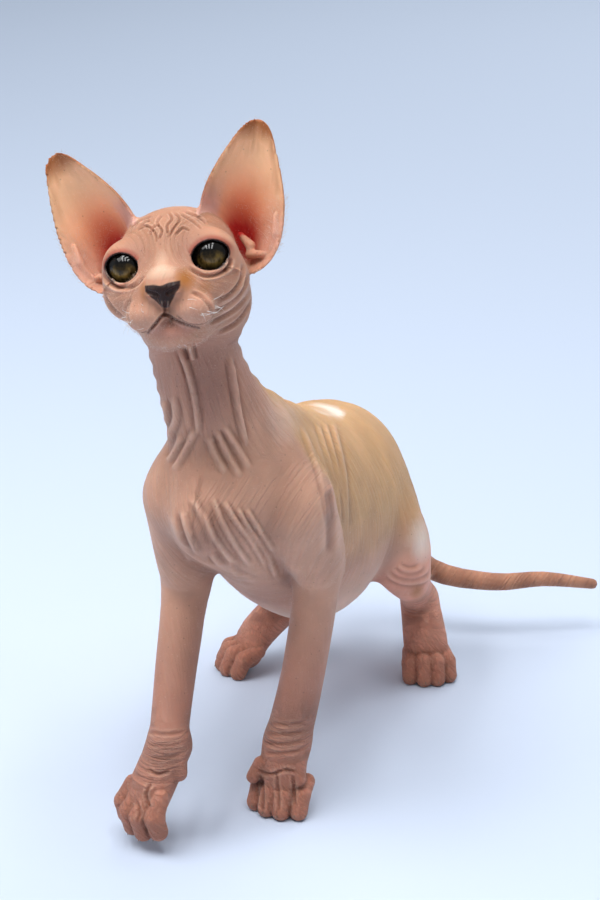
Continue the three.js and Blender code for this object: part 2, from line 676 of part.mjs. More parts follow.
function earSolid(sign) {
  const f = earFrame(sign);
  const [rows, columns] = [18, 10];
  const top = EAR_SECTIONS[EAR_SECTIONS.length - 1][0];
  const bottom = EAR_SECTIONS[0][0];
  const sheet = (row, column) => {
    const h = mix(bottom, top, row / rows);
    const [, inner, outer, depth] = earStation(h);
    const u = (2 * column) / columns - 1;
    return [mix(inner, outer, (u + 1) / 2), 1.5 - depth * (1 - u * u), h];
  };
  const verts = [];
  const index = (layer, row, column) => (layer * (rows + 1) + row) * (columns + 1) + column;
  for (const layer of [0, 1])
    for (let row = 0; row <= rows; row++)
      for (let column = 0; column <= columns; column++) {
        const along = sub(sheet(Math.min(row + 0.5, rows), column), sheet(Math.max(row - 0.5, 0), column));
        const across = sub(sheet(row, Math.min(column + 0.5, columns)), sheet(row, Math.max(column - 0.5, 0)));
        const normal = unit(cross(across, along));
        const edge = 1 - Math.abs((2 * column) / columns - 1) ** 4 * 0.35;
        const half = (EAR_THICKNESS / 2) * edge * mix(1.35, 0.75, row / rows);
        verts.push(outward(f, add(sheet(row, column), mul(normal, layer ? half : -half))));
      }
  const faces = [];
  for (let row = 0; row < rows; row++)
    for (let column = 0; column < columns; column++) {
      const ring = (layer) => [
        index(layer, row, column), index(layer, row, column + 1),
        index(layer, row + 1, column + 1), index(layer, row + 1, column),
      ];
      const [a, b] = [ring(0), ring(1)];
      faces.push([a[0], a[1], a[2]], [a[0], a[2], a[3]], [b[0], b[2], b[1]], [b[0], b[3], b[2]]);
    }
  const rim = [];
  for (let c = 0; c < columns; c++) rim.push([0, c]);
  for (let r = 0; r < rows; r++) rim.push([r, columns]);
  for (let c = columns; c > 0; c--) rim.push([rows, c]);
  for (let r = rows; r > 0; r--) rim.push([r, 0]);
  rim.forEach(([r, c], n) => {
    const [r2, c2] = rim[(n + 1) % rim.length];
    const [a, b, c3, d] = [index(0, r, c), index(0, r2, c2), index(1, r2, c2), index(1, r, c)];
    faces.push([a, c3, b], [a, d, c3]);
  });
  const made = solid(verts, faces);
  return made.volume() > 0 ? made : solid(verts, faces.map(([a, b, c]) => [a, c, b]));
}

// The head, with finer lines over the face
const headLines = [
  lines([-50, -26, 5], [-26, 26, 3.1], [26, 50, 5]),
  lines([-56, -14, 6], [-14, 4, 4.5], [4, 42, 2.9]),
  lines([-44, -30, 4.5], [-30, 12, 3], [12, 34, 4.6]),
];
const faceFrame = { ...HEAD };
function clean(make) {
  for (let shift = 0; shift < 3; shift += 0.37) {
    const made = make(headLines.map((row) => row.map((v) => v + shift)));
    if (made) return made;
  }
  throw new Error("no clean grid for the head");
}
const headWhole = clean((rows) => surface(skin, faceFrame, rows));
const headGrown = clean((rows) => surface((p) => skin(p) - BODY_GAP, faceFrame, rows));
const onFace = (q) => inward(HEAD, settle(headShape, outward(HEAD, q), 6));
let head = headWhole.intersect(block(HEAD_CELL, -BODY_GAP / 2));
for (const sign of [1, -1]) {
  head = head.subtract(eyeSolid(sign, BODY_GAP)).subtract(lidOpening(sign));
  const place = (q) => outward(HEAD, mirrored(onFace(q), sign));
  head = head.subtract(tube(MOUTH_LINE.map(place), [0.9, 0.9, 0.9, 0.5]));
  head = head.subtract(tube(NOSTRIL.map(place), [0.8, 1.1, 0.6]));
}
head = head.subtract(tube(PHILTRUM.map((q) => outward(HEAD, onFace(q))), [0.6, 0.6]));

// Every node of the model
const nodes = new Map();
nodes.set("head", [head, SKIN_COLOUR]);
for (const [name, sign] of [["left", 1], ["right", -1]]) {
  nodes.set("eye_" + name, [eyeSolid(sign, 0), EYE_COLOUR]);
  nodes.set("ear_" + name, [earSolid(sign).subtract(headGrown), EAR_COLOUR]);
}
const cut = [HEAD_CELL];
for (const [name, c, size] of CELLS) {
  const colour = name.includes("paw") || name.includes("tail") ? PAW_COLOUR : SKIN_COLOUR;
  nodes.set(name, [part(c, size, cut.slice(1)), colour]);
  cut.push(c);
}
nodes.set("neck", [part(NECK_CELL, 6.5, cut), SKIN_COLOUR]);
cut.push(NECK_CELL);
// The two large cells leave out the thin limbs, which other cells hold
const abdomenField = (p) => Math.max(skin(p), 50 - p[2], p[1] - 132);
const chestField = (p) => Math.max(skin(p), 94 - p[2] - Math.max(0, p[1] + 8));
nodes.set("abdomen", [part(REAR_CELL, 9.2, cut, abdomenField), SKIN_COLOUR]);
cut.push(REAR_CELL);
const CHEST_CELL = cell([0, -110, 130], [0, 60, 130], SIDE, 70, 90);
nodes.set("chest", [part(CHEST_CELL, 9.2, cut, chestField), SKIN_COLOUR]);

const cat = new THREE.Group();
cat.name = "sphynx_cat";
for (const [name, [body, colour]] of nodes) {
  const made = withoutSlivers(largest(body.subtract(floorBlock))).getMesh();
  const geometry = new THREE.BufferGeometry();
  geometry.setAttribute("position", new THREE.BufferAttribute(made.vertProperties, 3));
  geometry.setIndex(new THREE.BufferAttribute(made.triVerts, 1));
  geometry.computeVertexNormals();
  const glossy = name.startsWith("eye");
  const material = new THREE.MeshStandardMaterial({ color: colour, roughness: glossy ? 0.08 : 0.7, metalness: 0 });
  const mesh = new THREE.Mesh(geometry, material);
  mesh.name = name;
  mesh.position.set(-PART_CENTRE[0], -PART_CENTRE[1], 0);
  cat.add(mesh);
}
export default cat;
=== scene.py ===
# A young sphynx cat in its skin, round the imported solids.
# The skin is one mesh worked out in millimetres from the same named sizes as the solids.
import math

import bpy
import numpy as np
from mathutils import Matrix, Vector


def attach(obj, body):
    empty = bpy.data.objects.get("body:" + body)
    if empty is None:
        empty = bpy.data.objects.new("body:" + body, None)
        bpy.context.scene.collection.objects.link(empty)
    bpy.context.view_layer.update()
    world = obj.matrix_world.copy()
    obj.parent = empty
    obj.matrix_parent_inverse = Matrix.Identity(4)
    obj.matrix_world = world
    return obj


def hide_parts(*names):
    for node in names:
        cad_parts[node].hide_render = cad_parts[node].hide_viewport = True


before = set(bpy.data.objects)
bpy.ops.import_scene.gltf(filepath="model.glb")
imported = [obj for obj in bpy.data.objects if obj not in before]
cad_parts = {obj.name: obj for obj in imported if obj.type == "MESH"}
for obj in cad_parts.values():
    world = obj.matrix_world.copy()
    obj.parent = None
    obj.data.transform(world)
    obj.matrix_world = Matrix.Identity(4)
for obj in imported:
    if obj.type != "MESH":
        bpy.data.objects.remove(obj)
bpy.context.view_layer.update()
MM = 0.001

# Sizes of the solids, in millimetres
PART_CENTRE = [22.22, 39.5]
TRUNK = [
  [0, -74, 150, 17, 17],
  [0, -58, 150, 26, 26],
  [0, -30, 145, 33, 34],
  [0, 8, 127.5, 38.5, 44.5],
  [0, 44, 109, 42, 51],
  [0, 74, 104, 42, 50],
  [0, 98, 102, 34, 42],
  [0, 118, 100, 21, 26],
]
KEEL = [
  [0, -64, 137, 12, 12],
  [0, -40, 125, 19, 15],
  [4, -5, 113, 24, 20],
  [9, 36, 97, 31, 37],
]
WITHERS = [
  [-3, -48, 185, 13, 15],
  [0, -24, 177, 15, 13],
  [0, 4, 164, 14, 12],
]
NECK = [
  [0, -34, 158, 28, 30],
  [-4, -50, 184, 22, 25],
  [-8, -62, 212, 19, 20],
  [-10, -69, 236, 19, 20],
]
FORELEG_LEFT = [
  [29, -42, 146, 16, 22],
  [33.5, -28, 118, 12, 16],
  [32.5, -26, 102, 10.2, 12.5],
  [30.5, -37, 64, 9.8, 11],
  [26, -46, 32, 10.5, 11],
]
FORELEG_RIGHT = [
  [-21, -54, 152, 15, 23],
  [-23.5, -47, 122, 12, 17],
  [-24.5, -43, 100, 10.5, 12.5],
  [-21, -64, 68, 9.2, 10.5],
  [-16, -86, 42, 8.3, 9.4],
]
HINDLEG_LEFT = [
  [20, 92, 98, 22, 28],
  [35, 82, 84, 18, 22],
  [41.5, 84, 67, 12.8, 13.5],
  [39, 107, 50, 8.6, 11],
  [38.5, 122, 35, 7.9, 9.5],
]
HINDLEG_RIGHT = [
  [-20, 92, 98, 22, 28],
  [-36, 78, 82, 18, 23],
  [-40, 74, 64, 13.5, 14.5],
  [-32, 94, 47, 9.5, 12],
  [-28, 106, 33, 8.5, 10],
]
TAIL = [
  [0, 112, 104, 11, 11],
  [2, 136, 88, 8, 8],
  [10, 150, 62, 6.8, 6.8],
  [34, 157, 38, 5.8, 5.8],
  [66, 165, 32, 4.8, 4.8],
  [92, 176, 33, 4.0, 4.0],
  [116, 190, 28, 2.8, 2.8],
]
BONES = [
  { "from": [15, -34, 178.5], "to": [28, -46, 150], "r": [6, 8] },
  { "from": [-15, -34, 178], "to": [-26, -57, 150], "r": [6, 7] },
  { "from": [33.5, -16, 115], "to": [32.5, -23, 105], "r": [6, 7] },
  { "from": [-24, -34, 113], "to": [-24, -41, 103], "r": [6, 7] },
]
PAWS = {
  "forepaw_left": { "wrist": [26, -46, 32], "toe": [25, -56, 8.0], "spread": 6.0, "aim": [-0.1, -1, 0] },
  "forepaw_right": {
    "wrist": [-15, -86, 42], "toe": [-22.6, -104.5, 14.8], "spread": 6.2, "aim": [-0.34, -0.66, -0.66],
  },
  "hindpaw_left": { "wrist": [38, 122, 35], "toe": [51, 99, 7.8], "spread": 5.6, "aim": [0.5, -1, 0] },
  "hindpaw_right": { "wrist": [-28, 106, 33], "toe": [-50, 76, 7.6], "spread": 5.6, "aim": [-0.8, -0.75, 0] },
}
PALM_RADIUS = 10
TOE_RADIUS = 4.4
HEAD_AT = [-12.3, -74.7, 258]
HEAD_TURN = 13.2
HEAD_TIP = 10.1
HEAD_LEAN = 9.9
SKULL = { "at": [0, -8, 4], "r": [25, 29, 21] }
CHEEK = { "at": [17, 4, -7], "r": [13.5, 19, 13] }
BRIDGE = { "from": [0, 10, 8], "to": [0, 29, -4], "r": [9, 6.2] }
MUZZLE = { "at": [6, 17, -9], "r": [12, 15, 10] }
PAD = { "at": [8.9, 25.8, -16], "r": [9.3, 8.7, 7.3] }
CHIN = { "at": [0, 22.5, -24.4], "r": [9, 8, 6] }
JAW = { "from": [6, 17, -23], "to": [14, -8, -16], "r": [8, 10] }
NOSE = { "at": [0, 32.6, -6.2], "r": [6.2, 4.2, 3.2] }
NOSE_TIP = { "at": [0, 33.2, -9.4], "r": [3, 3.4, 4.2] }
NOSE_WING = { "at": [4.6, 32.8, -6.8], "r": [2.4, 3, 2.3] }
LEFT_JOWL = { "at": [15.5, -14, -16.5], "r": [11.5, 14, 15] }
MOUTH_LINE = [
  [0, 36, -16.5],
  [5, 34.5, -20],
  [10, 31, -23],
  [15, 24.5, -24],
]
PHILTRUM = [
  [0, 37, -12.5],
  [0, 37, -16.5],
]
NOSTRIL = [
  [2.4, 38, -8.2],
  [4.2, 37, -7.4],
  [6.0, 35, -6.4],
]
EYE_AT = [17.4, 12.2, 3.8]
RIGHT_EYE_INWARD = 0.9
EYE_RADIUS = 9.6
CORNEA_RADIUS = 6.7
CORNEA_RISE = 3.6
EYE_GAZE = [0.16, 1, 0.02]
EYE_BACK = 1.5
LID_THICKNESS = 1.5
LID_HALF_WIDTH = 8.0
LID_HEIGHT = 5.9
LID_TILT = 8
EAR_SECTIONS = [
  [-13, 3, 9, 9],
  [-10, -5, 12.5, 13],
  [-5, -12, 15.6, 16.5],
  [2, -16.2, 17.4, 17],
  [10, -18, 17.5, 14.5],
  [20, -17, 16, 10.5],
  [30, -13.8, 12.8, 7.2],
  [38, -10.2, 9.6, 5],
  [44, -7.2, 7, 3.6],
  [47.6, -4.6, 4.6, 2.8],
  [49.6, -1.6, 1.6, 2.4],
]
EAR_AT = [27, -6, 8]
EAR_TILT_LEFT = 17.6
EAR_TILT_RIGHT = 22.4
EAR_LEAN_BACK = 5.8
EAR_THICKNESS = 2.0

# Grid of the skin: coarse cells near the surface are cut into fine ones; points are worked on in shares
COARSE = 3.6
NEAR_SURFACE = 1.15
FINE = 4
SHARES = 16
SKIN_TRIANGLES = 192000


def vec(*numbers):
    return np.array(numbers, float)


def unit(v):
    return v / np.linalg.norm(v)


def radians(degrees):
    return degrees * math.pi / 180


# Distance to simple shapes, and soft joins between them
def join(a, b, soft):
    h = np.maximum(soft - np.abs(a - b), 0) / soft
    return np.minimum(a, b) - h * h * soft * 0.25


def carve(a, b, soft):
    return -join(-a, b, soft)


def ellipsoid(p, shape):
    q = p - vec(*shape["at"])
    r = vec(*shape["r"])
    k0 = np.linalg.norm(q / r, axis=-1)
    k1 = np.linalg.norm(q / r**2, axis=-1)
    return k0 * (k0 - 1) / np.maximum(k1, 1e-9)


def capsule(p, start, end, r):
    along = vec(*end) - vec(*start)
    q = p - vec(*start)
    t = np.clip(q @ along / (along @ along), 0, 1)
    return np.linalg.norm(q - t[..., None] * along, axis=-1) - (r[0] + (r[1] - r[0]) * t)


def form(p, shape):
    if "at" in shape:
        return ellipsoid(p, shape)
    return capsule(p, shape["from"], shape["to"], shape["r"])


def joined(d, p, shapes):
    for shape, soft in shapes:
        d = join(d, form(p, shape), soft)
    return d


# A smooth curve through rows of numbers
def curve(rows, steps):
    rows = np.asarray(rows, float)
    out = []
    for i in range(len(rows) - 1):
        a, b, c, d = rows[max(i - 1, 0)], rows[i], rows[i + 1], rows[min(i + 2, len(rows) - 1)]
        for t in np.arange(steps) / steps:
            bend = (c - a) * t + (2 * a - 5 * b + 4 * c - d) * t * t + (3 * b - a - 3 * c + d) * t**3
            out.append(b + 0.5 * bend)
    out.append(rows[-1])
    return np.array(out)


# The shape where a point is near enough to matter, and a plain distance beyond
def near(p, centre, reach, shape, margin=20):
    far = np.linalg.norm(p - centre, axis=-1) - reach
    close = far < margin
    out = np.maximum(far, 1.0)
    if close.any():
        out[close] = shape(p[close])
    return out


# A limb: elliptical sections swept along a curve
STEEPEST_TAPER = 0.85


def limb(p, rows, side=(1, 0, 0), steps=4):
    stations = curve(rows, steps)
    centre = (stations[:, :3].min(0) + stations[:, :3].max(0)) / 2
    reach = np.linalg.norm(stations[:, :3] - centre, axis=1).max() + stations[:, 3:5].max()

    def swept(q):
        best = np.full(len(q), np.inf)
        for a, b in zip(stations[:-1], stations[1:]):
            span = np.linalg.norm(b[:3] - a[:3])
            along = (b[:3] - a[:3]) / span
            wide = unit(vec(*side) - along * (vec(*side) @ along))
            tall = np.cross(along, wide)
            taper = np.clip((b[3] + b[4] - a[3] - a[4]) / 2 / span, -STEEPEST_TAPER, STEEPEST_TAPER)
            r = q - a[:3]
            z, x, y = r @ along, r @ wide, r @ tall
            t = np.clip((z + np.hypot(x, y) * taper / math.sqrt(1 - taper**2)) / span, 0, 1)
            w = a[3] + (b[3] - a[3]) * t
            h = a[4] + (b[4] - a[4]) * t
            z = z - t * span
            k0 = np.sqrt((x / w) ** 2 + (y / h) ** 2 + z * z / (w * h))
            k1 = np.sqrt((x / w**2) ** 2 + (y / h**2) ** 2 + (z / (w * h)) ** 2)
            best = np.minimum(best, k0 * (k0 - 1) / np.maximum(k1, 1e-9))
        return best

    return near(p, centre, reach, swept)


# A paw: a flattened palm and four toes, each of two joints
TOE_PLACES = (-1.5, -0.5, 0.5, 1.5)
KNUCKLE_JOIN = 1.2
TOE_JOIN = 0.5
PAW_REACH = 34
PAW_MARGIN = 10


def paw_axes(sizes):
    ahead = unit(vec(*sizes["aim"]))
    across = unit(np.cross(ahead, vec(0, 0, 1)))
    return ahead, across, np.cross(across, ahead)


# The base, the knuckle and the tip of each toe; the outer toes stand further back
def paw_toes(sizes):
    ahead, across, over = paw_axes(sizes)
    toe = vec(*sizes["toe"])
    for place in TOE_PLACES:
        back = abs(place)

        def at(out, on, up):
            return toe + across * place * sizes["spread"] * out + ahead * on + over * up

        yield at(1.05, -8 - 2 * back, 5), at(1.15, 2 - 3 * back, 3.6 - back), at(1.2, 6 - 3.4 * back, -4.3)


def paw(p, sizes):
    ahead, across, over = paw_axes(sizes)
    wrist, toe = vec(*sizes["wrist"]), vec(*sizes["toe"])
    middle = wrist + (toe - wrist) * 0.55
    front = toe - ahead * 8 + over * 1.5
    r = PALM_RADIUS
    palm = [[*wrist, r, r], [*middle, r * 1.15, r * 0.85], [*front, r * 1.15, r * 0.7]]

    def whole(q):
        d = limb(q, palm, across)
        for base, knuckle, tip in paw_toes(sizes):
            bone = capsule(q, base, knuckle, [TOE_RADIUS - 0.6, TOE_RADIUS])
            end = capsule(q, knuckle, tip, [TOE_RADIUS, TOE_RADIUS - 0.1])
            d = join(d, join(bone, end, KNUCKLE_JOIN), TOE_JOIN)
        return d

    return near(p, (wrist + toe) / 2, PAW_REACH, whole, PAW_MARGIN)


# Small lobes of skin at the wrists, each from one end to the other: the carpal pads and the dewclaws
WRIST_LOBES = (
    {"from": [-10.0, -89, 42.5], "to": [-7.0, -94, 33.5], "r": [4.6, 3.4]},
    {"from": [-6.2, -93, 37.5], "to": [-4.8, -94, 34.8], "r": [1.3, 1.2]},
    {"from": [16.0, -55, 23.5], "to": [13.4, -57, 17.0], "r": [3.0, 3.2]},
    {"from": [33.5, -52, 24.0], "to": [35.0, -55, 18.0], "r": [3.0, 2.6]},
    {"from": [47.5, 113, 22.0], "to": [50.0, 109, 17.0], "r": [3.0, 2.4]},
)
# Lobes inside each ear, in the head's frame: the tragus, the folds at its foot and the pouch of the outer rim
EAR_LOBES = (
    {"from": [26.5, -16.5, 9.0], "to": [30.5, -13.5, 4.0], "r": [1.3, 2.2]},
    {"from": [30.0, -12.5, 0.5], "to": [35.5, -9.5, 0.0], "r": [2.1, 1.4]},
    {"from": [38.5, -10.0, 1.5], "to": [42.0, -9.8, 7.0], "r": [1.1, 1.5]},
    {"from": [42.0, -9.8, 8.0], "to": [43.0, -10.3, 15.5], "r": [1.5, 0.6]},
)


# The head's own frame: x to its left, y forward, z up
def head_axes():
    a, p, r = radians(HEAD_TURN), radians(HEAD_TIP), radians(HEAD_LEAN)
    forward = vec(math.sin(a) * math.cos(p), -math.cos(a) * math.cos(p), math.sin(p))
    level = -unit(np.cross(forward, vec(0, 0, 1)))
    up = -np.cross(level, forward)
    return np.array([level * math.cos(r) + up * math.sin(r), forward, up * math.cos(r) - level * math.sin(r)])


HEAD_PLACE = vec(*HEAD_AT)
HEAD_TURNED = head_axes()


def to_head(p):
    return (p - HEAD_PLACE) @ HEAD_TURNED.T


def from_head(q):
    return np.asarray(q, float) @ HEAD_TURNED + HEAD_PLACE


def eye_place(sign):
    at = vec(*EYE_AT)
    if sign < 0:
        at[0] -= RIGHT_EYE_INWARD
    return at


# The eye's own axes in the left half: across, up and along the gaze
GAZE = unit(vec(*EYE_GAZE))
GAZE_SIDE = unit(np.cross(GAZE, vec(0, 0, 1)))
GAZE_UP = np.cross(GAZE_SIDE, GAZE)


def lid_opening(m, at):
    q = m - at
    a, b, c = q @ GAZE_SIDE, q @ GAZE_UP, q @ GAZE
    turn = radians(LID_TILT)
    a, b = a * math.cos(turn) + b * math.sin(turn), b * math.cos(turn) - a * math.sin(turn)
    ring = (LID_HALF_WIDTH**2 + LID_HEIGHT**2) / (2 * LID_HEIGHT)
    upper = np.hypot(a, b + ring - LID_HEIGHT) - ring
    lower = np.hypot(a, b - ring + LID_HEIGHT) - ring
    return carve(carve(upper, -lower, 1.6), c, 1)


# An ear: a cupped sheet inside its outline; its rows are height, inner rim, outer rim and depth of the cup
EAR_ROWS = curve(EAR_SECTIONS, 8)
EAR_TOP, EAR_BOTTOM = EAR_SECTIONS[-1][0], EAR_SECTIONS[0][0]
EAR_SIDE = vec(0.954, -0.18, -0.301)
EAR_FRONT = 1.5
EAR_THINS = 0.6
EAR_STEP = 0.6


def ear_axes(sign):
    tilt = radians(EAR_TILT_LEFT if sign > 0 else EAR_TILT_RIGHT)
    lean = radians(EAR_LEAN_BACK)
    up = vec(math.sin(tilt) * math.cos(lean), -math.sin(lean), math.cos(tilt) * math.cos(lean))
    side = unit(EAR_SIDE - up * (EAR_SIDE @ up))
    return np.array([side, -np.cross(side, up), up])


def ear_frame_point(m, sign):
    return (m - vec(*EAR_AT)) @ ear_axes(sign).T


def ear_row(h):
    return [np.interp(h, EAR_ROWS[:, 0], EAR_ROWS[:, k]) for k in (1, 2, 3)]


def ear(m, sign):
    q = ear_frame_point(m, sign)
    s, n, h = q[..., 0], q[..., 1], q[..., 2]
    inner, outer, depth = ear_row(h)
    half = np.maximum((outer - inner) / 2, 0.4)
    u = (s - (inner + outer) / 2) / half
    cup = EAR_FRONT - depth * (1 - np.clip(u, -1.3, 1.3) ** 2)
    slope = np.sqrt(1 + (2 * depth * u / half) ** 2 + 0.1)
    thick = EAR_THICKNESS / 2 * (1.35 - EAR_THINS * np.clip((h - EAR_BOTTOM) / 62, 0, 1))
    sheet = np.abs(n - cup) / slope - thick
    over, under = ear_row(h + EAR_STEP), ear_row(h - EAR_STEP)
    lean = np.where(u > 0, over[1] - under[1], over[0] - under[0]) / (2 * EAR_STEP)
    edge = (np.abs(u) - 1) * half / np.sqrt(1 + np.clip(lean, -3, 3) ** 2)
    edge = np.maximum(np.maximum(edge, h - EAR_TOP), EAR_BOTTOM - h)
    return carve(sheet, -edge, 1.0)


# The head's forms, and how softly each joins those before it
PAD_AND_CHIN = ((PAD, 3), (CHIN, 3))
HEAD_FORMS = ((CHEEK, 8), (BRIDGE, 8), (MUZZLE, 8), *PAD_AND_CHIN, (JAW, 6))
NOSE_FORMS = ((NOSE, 3), (NOSE_TIP, 1.5), (NOSE_WING, 1.5))
EYELID_JOIN = 6
JOWL_JOIN = 8
GROOVE_JOIN = 0.7
LID_JOIN = 0.8
EYE_GAP = 0.25
EYE_JOIN = 0.4
EAR_JOIN = 3.5
EAR_MIDDLE = vec(32, -6, 22)
EAR_REACH = 42
EAR_MARGIN = 8
EAR_LOBE_JOIN = 1.6


def head(p):
    q = to_head(p)
    m = q.copy()
    m[..., 0] = np.abs(q[..., 0])
    left = q[..., 0] > 0
    d = joined(ellipsoid(m, SKULL), m, HEAD_FORMS)
    at = np.where(left[:, None], eye_place(1), eye_place(-1))
    ball = np.linalg.norm(m - at, axis=-1)
    d = join(d, ball - EYE_RADIUS - LID_THICKNESS, EYELID_JOIN)
    d = join(d, ellipsoid(q, LEFT_JOWL), JOWL_JOIN)
    d = joined(d, m, NOSE_FORMS)
    for a, b, r in GROOVES:
        d = carve(d, capsule(m, a, b, [r, r]), GROOVE_JOIN)
    d = carve(d, lid_opening(m, at), LID_JOIN)
    d = carve(d, ball - EYE_RADIUS - EYE_GAP, EYE_JOIN)
    for sign in (1, -1):
        mine = left == (sign > 0)
        if mine.any():
            sheet = near(m[mine], EAR_MIDDLE, EAR_REACH, lambda r: ear(r, sign), EAR_MARGIN)
            d[mine] = join(d[mine], sheet, EAR_JOIN)
    return joined(d, m, [(lobe, EAR_LOBE_JOIN) for lobe in EAR_LOBES])


LIMBS = ((KEEL, 8), (NECK, 16), (WITHERS, 12), (FORELEG_LEFT, 8), (FORELEG_RIGHT, 8))
LIMBS += ((HINDLEG_LEFT, 8), (HINDLEG_RIGHT, 8))
BONE_JOIN = 8
PAW_JOIN = 4
LOBE_JOIN = 1.2
TAIL_JOIN = 6
HEAD_JOIN = 7
HEAD_REACH = 78
OFF_FLOOR = 0.02


def skin(p):
    d = limb(p, TRUNK)
    for rows, soft in LIMBS:
        d = join(d, limb(p, rows), soft)
    d = joined(d, p, [(bone, BONE_JOIN) for bone in BONES])
    for sizes in PAWS.values():
        d = join(d, paw(p, sizes), PAW_JOIN)
    d = joined(d, p, [(lobe, LOBE_JOIN) for lobe in WRIST_LOBES])
    d = join(d, limb(p, TAIL), TAIL_JOIN)
    d = join(d, near(p, HEAD_PLACE, HEAD_REACH, head), HEAD_JOIN)
    return np.maximum(d, OFF_FLOOR - p[..., 2])


# The surface where a distance function is nought: coarse cells first, then fine cells inside them
def fine_surface(field, low, high):
    counts = np.ceil((high - low) / COARSE).astype(int)
    starts = np.stack(np.meshgrid(*[np.arange(c) for c in counts], indexing="ij"), -1).reshape(-1, 3)
    middles = low + (starts + 0.5) * COARSE
    d = np.concatenate([field(part) for part in np.array_split(middles, SHARES)])
    starts = starts[np.abs(d) < COARSE * NEAR_SURFACE]
    small = COARSE / FINE
    corner = np.stack(np.meshgrid(*[np.arange(FINE + 1)] * 3, indexing="ij"), -1)
    index = (starts[:, None, None, None] * FINE + corner).reshape(-1, 3)
    size = counts * FINE + 2
    key = (index[:, 0] * size[1] + index[:, 1]) * size[2] + index[:, 2]
    keys, first = np.unique(key, return_index=True)
    points = low + index[first] * small
    value = np.concatenate([field(part) for part in np.array_split(points, SHARES)])
    spots = index[first]
    steps = np.array([size[1] * size[2], size[2], 1])

    def look(k):
        at = np.minimum(np.searchsorted(keys, k), len(keys) - 1)
        return np.where(keys[at] == k, at, -1)

    corners = [np.array([(n >> 2) & 1, (n >> 1) & 1, n & 1]) for n in range(8)]
    at = np.stack([look(keys + c @ steps) for c in corners], 1)
    whole = (at >= 0).all(1)
    inside = value[at] < 0
    mixed = whole & (inside.any(1) != inside.all(1))
    cell_keys = keys[mixed]
    at = at[mixed]
    total = np.zeros((len(at), 3))
    count = np.zeros(len(at))
    for a in range(8):
        for axis in (4, 2, 1):
            b = a | axis
            if b == a:
                continue
            va, vb = value[at[:, a]], value[at[:, b]]
            crossing = (va < 0) != (vb < 0)
            t = np.where(crossing, va / np.where(va == vb, 1, va - vb), 0)[:, None]
            pa, pb = spots[at[:, a]], spots[at[:, b]]
            total += np.where(crossing[:, None], pa + (pb - pa) * t, 0)
            count += crossing
    verts = low + total / count[:, None] * small
    order = np.argsort(cell_keys)
    sorted_keys = cell_keys[order]

    def cell(k):
        at_key = np.minimum(np.searchsorted(sorted_keys, k), len(sorted_keys) - 1)
        return np.where(sorted_keys[at_key] == k, order[at_key], -1)

    quads = []
    for axis in range(3):
        j, k = steps[(axis + 1) % 3], steps[(axis + 2) % 3]
        other = look(keys + steps[axis])
        here = value < 0
        crossing = (other >= 0) & (here != (value[other] < 0))
        base = keys[crossing]
        ring = np.stack([cell(base - j - k), cell(base - k), cell(base), cell(base - j)], 1)
        flip = ~here[crossing]
        ring[flip] = ring[flip][:, ::-1]
        quads.append(ring[(ring >= 0).all(1)])
    return verts, np.concatenate(quads)


def slope_of(field, p, step=0.25):
    shifts = np.eye(3) * step
    base = field(p)
    slope = np.stack([field(p + shift) - base for shift in shifts], -1) / step
    return base, slope


# The points moved onto the surface itself
LONGEST_MOVE = 0.6
LEAST_SLOPE = 0.3


def settled(field, verts):
    out = verts.copy()
    for part in np.array_split(np.arange(len(verts)), SHARES):
        d, slope = slope_of(field, verts[part])
        steep = np.maximum((slope**2).sum(-1), LEAST_SLOPE)
        move = -slope * (np.clip(d, -LONGEST_MOVE, LONGEST_MOVE) / steep)[:, None]
        out[part] = verts[part] + move
    return out


# The grooves of the mouth, the lip and the nostrils, laid on the face's own surface
def face_shape(q):
    return joined(ellipsoid(q, MUZZLE), q, PAD_AND_CHIN + NOSE_FORMS)


def on_face(point):
    q = vec(*point)[None]
    for _ in range(8):
        d, slope = slope_of(face_shape, q)
        q = q - slope * vec(0, 1, 1) * d[:, None]
    return q[0]


# Each groove's line with its half width at the start and at the end
GROOVE_LINES = ((MOUTH_LINE, 0.4, 0.2), (PHILTRUM, 0.6, 0.5), (NOSTRIL, 0.9, 0.8))
GROOVES = []
for line, wide, narrow in GROOVE_LINES:
    laid = curve([on_face(p) for p in line], 3)
    for n, (a, b) in enumerate(zip(laid[:-1], laid[1:])):
        GROOVES.append((a, b, wide + (narrow - wide) * n / (len(laid) - 1)))


# The camera of the photograph, in millimetres; the picture is 600 by 900 pixels
PICTURE = (600, 900)
CAMERA_TURN = 20
CAMERA_RISE = 19.5
CAMERA_FAR = 950
CAMERA_AIM = vec(11, 12, 152)
FOCAL_PIXELS = 2042


def camera_axes():
    a, e = radians(CAMERA_TURN), radians(CAMERA_RISE)
    back = vec(math.sin(a) * math.cos(e), -math.cos(a) * math.cos(e), math.sin(e))
    right = unit(np.cross(-back, vec(0, 0, 1)))
    return right, np.cross(right, -back), back


RIGHT, UP, BACK = camera_axes()
EYE_POINT = CAMERA_AIM + BACK * CAMERA_FAR


def to_picture(p):
    q = p - EYE_POINT
    depth = -(q @ BACK)
    u = PICTURE[0] / 2 + FOCAL_PIXELS * (q @ RIGHT) / depth
    v = PICTURE[1] / 2 - FOCAL_PIXELS * (q @ UP) / depth
    return np.stack([u, v], -1)


def facing(p, normals):
    way = EYE_POINT - p
    return (normals * way).sum(-1) / np.linalg.norm(way, axis=-1)


def ramp(value, start, end):
    t = np.clip((value - start) / (end - start), 0, 1)
    return t * t * (3 - 2 * t)


# One at the middle of a soft-edged patch, nought outside it
SPOT_EDGE = 1.3
SPOT_CURVE = 0.7


def spot(q, centre, radii):
    far = np.linalg.norm((q - vec(*centre)) / vec(*radii), axis=-1)
    return np.clip(SPOT_EDGE - SPOT_EDGE * far, 0, 1) ** SPOT_CURVE


def to_scene(p):
    return (p - vec(*PART_CENTRE, 0)) * MM


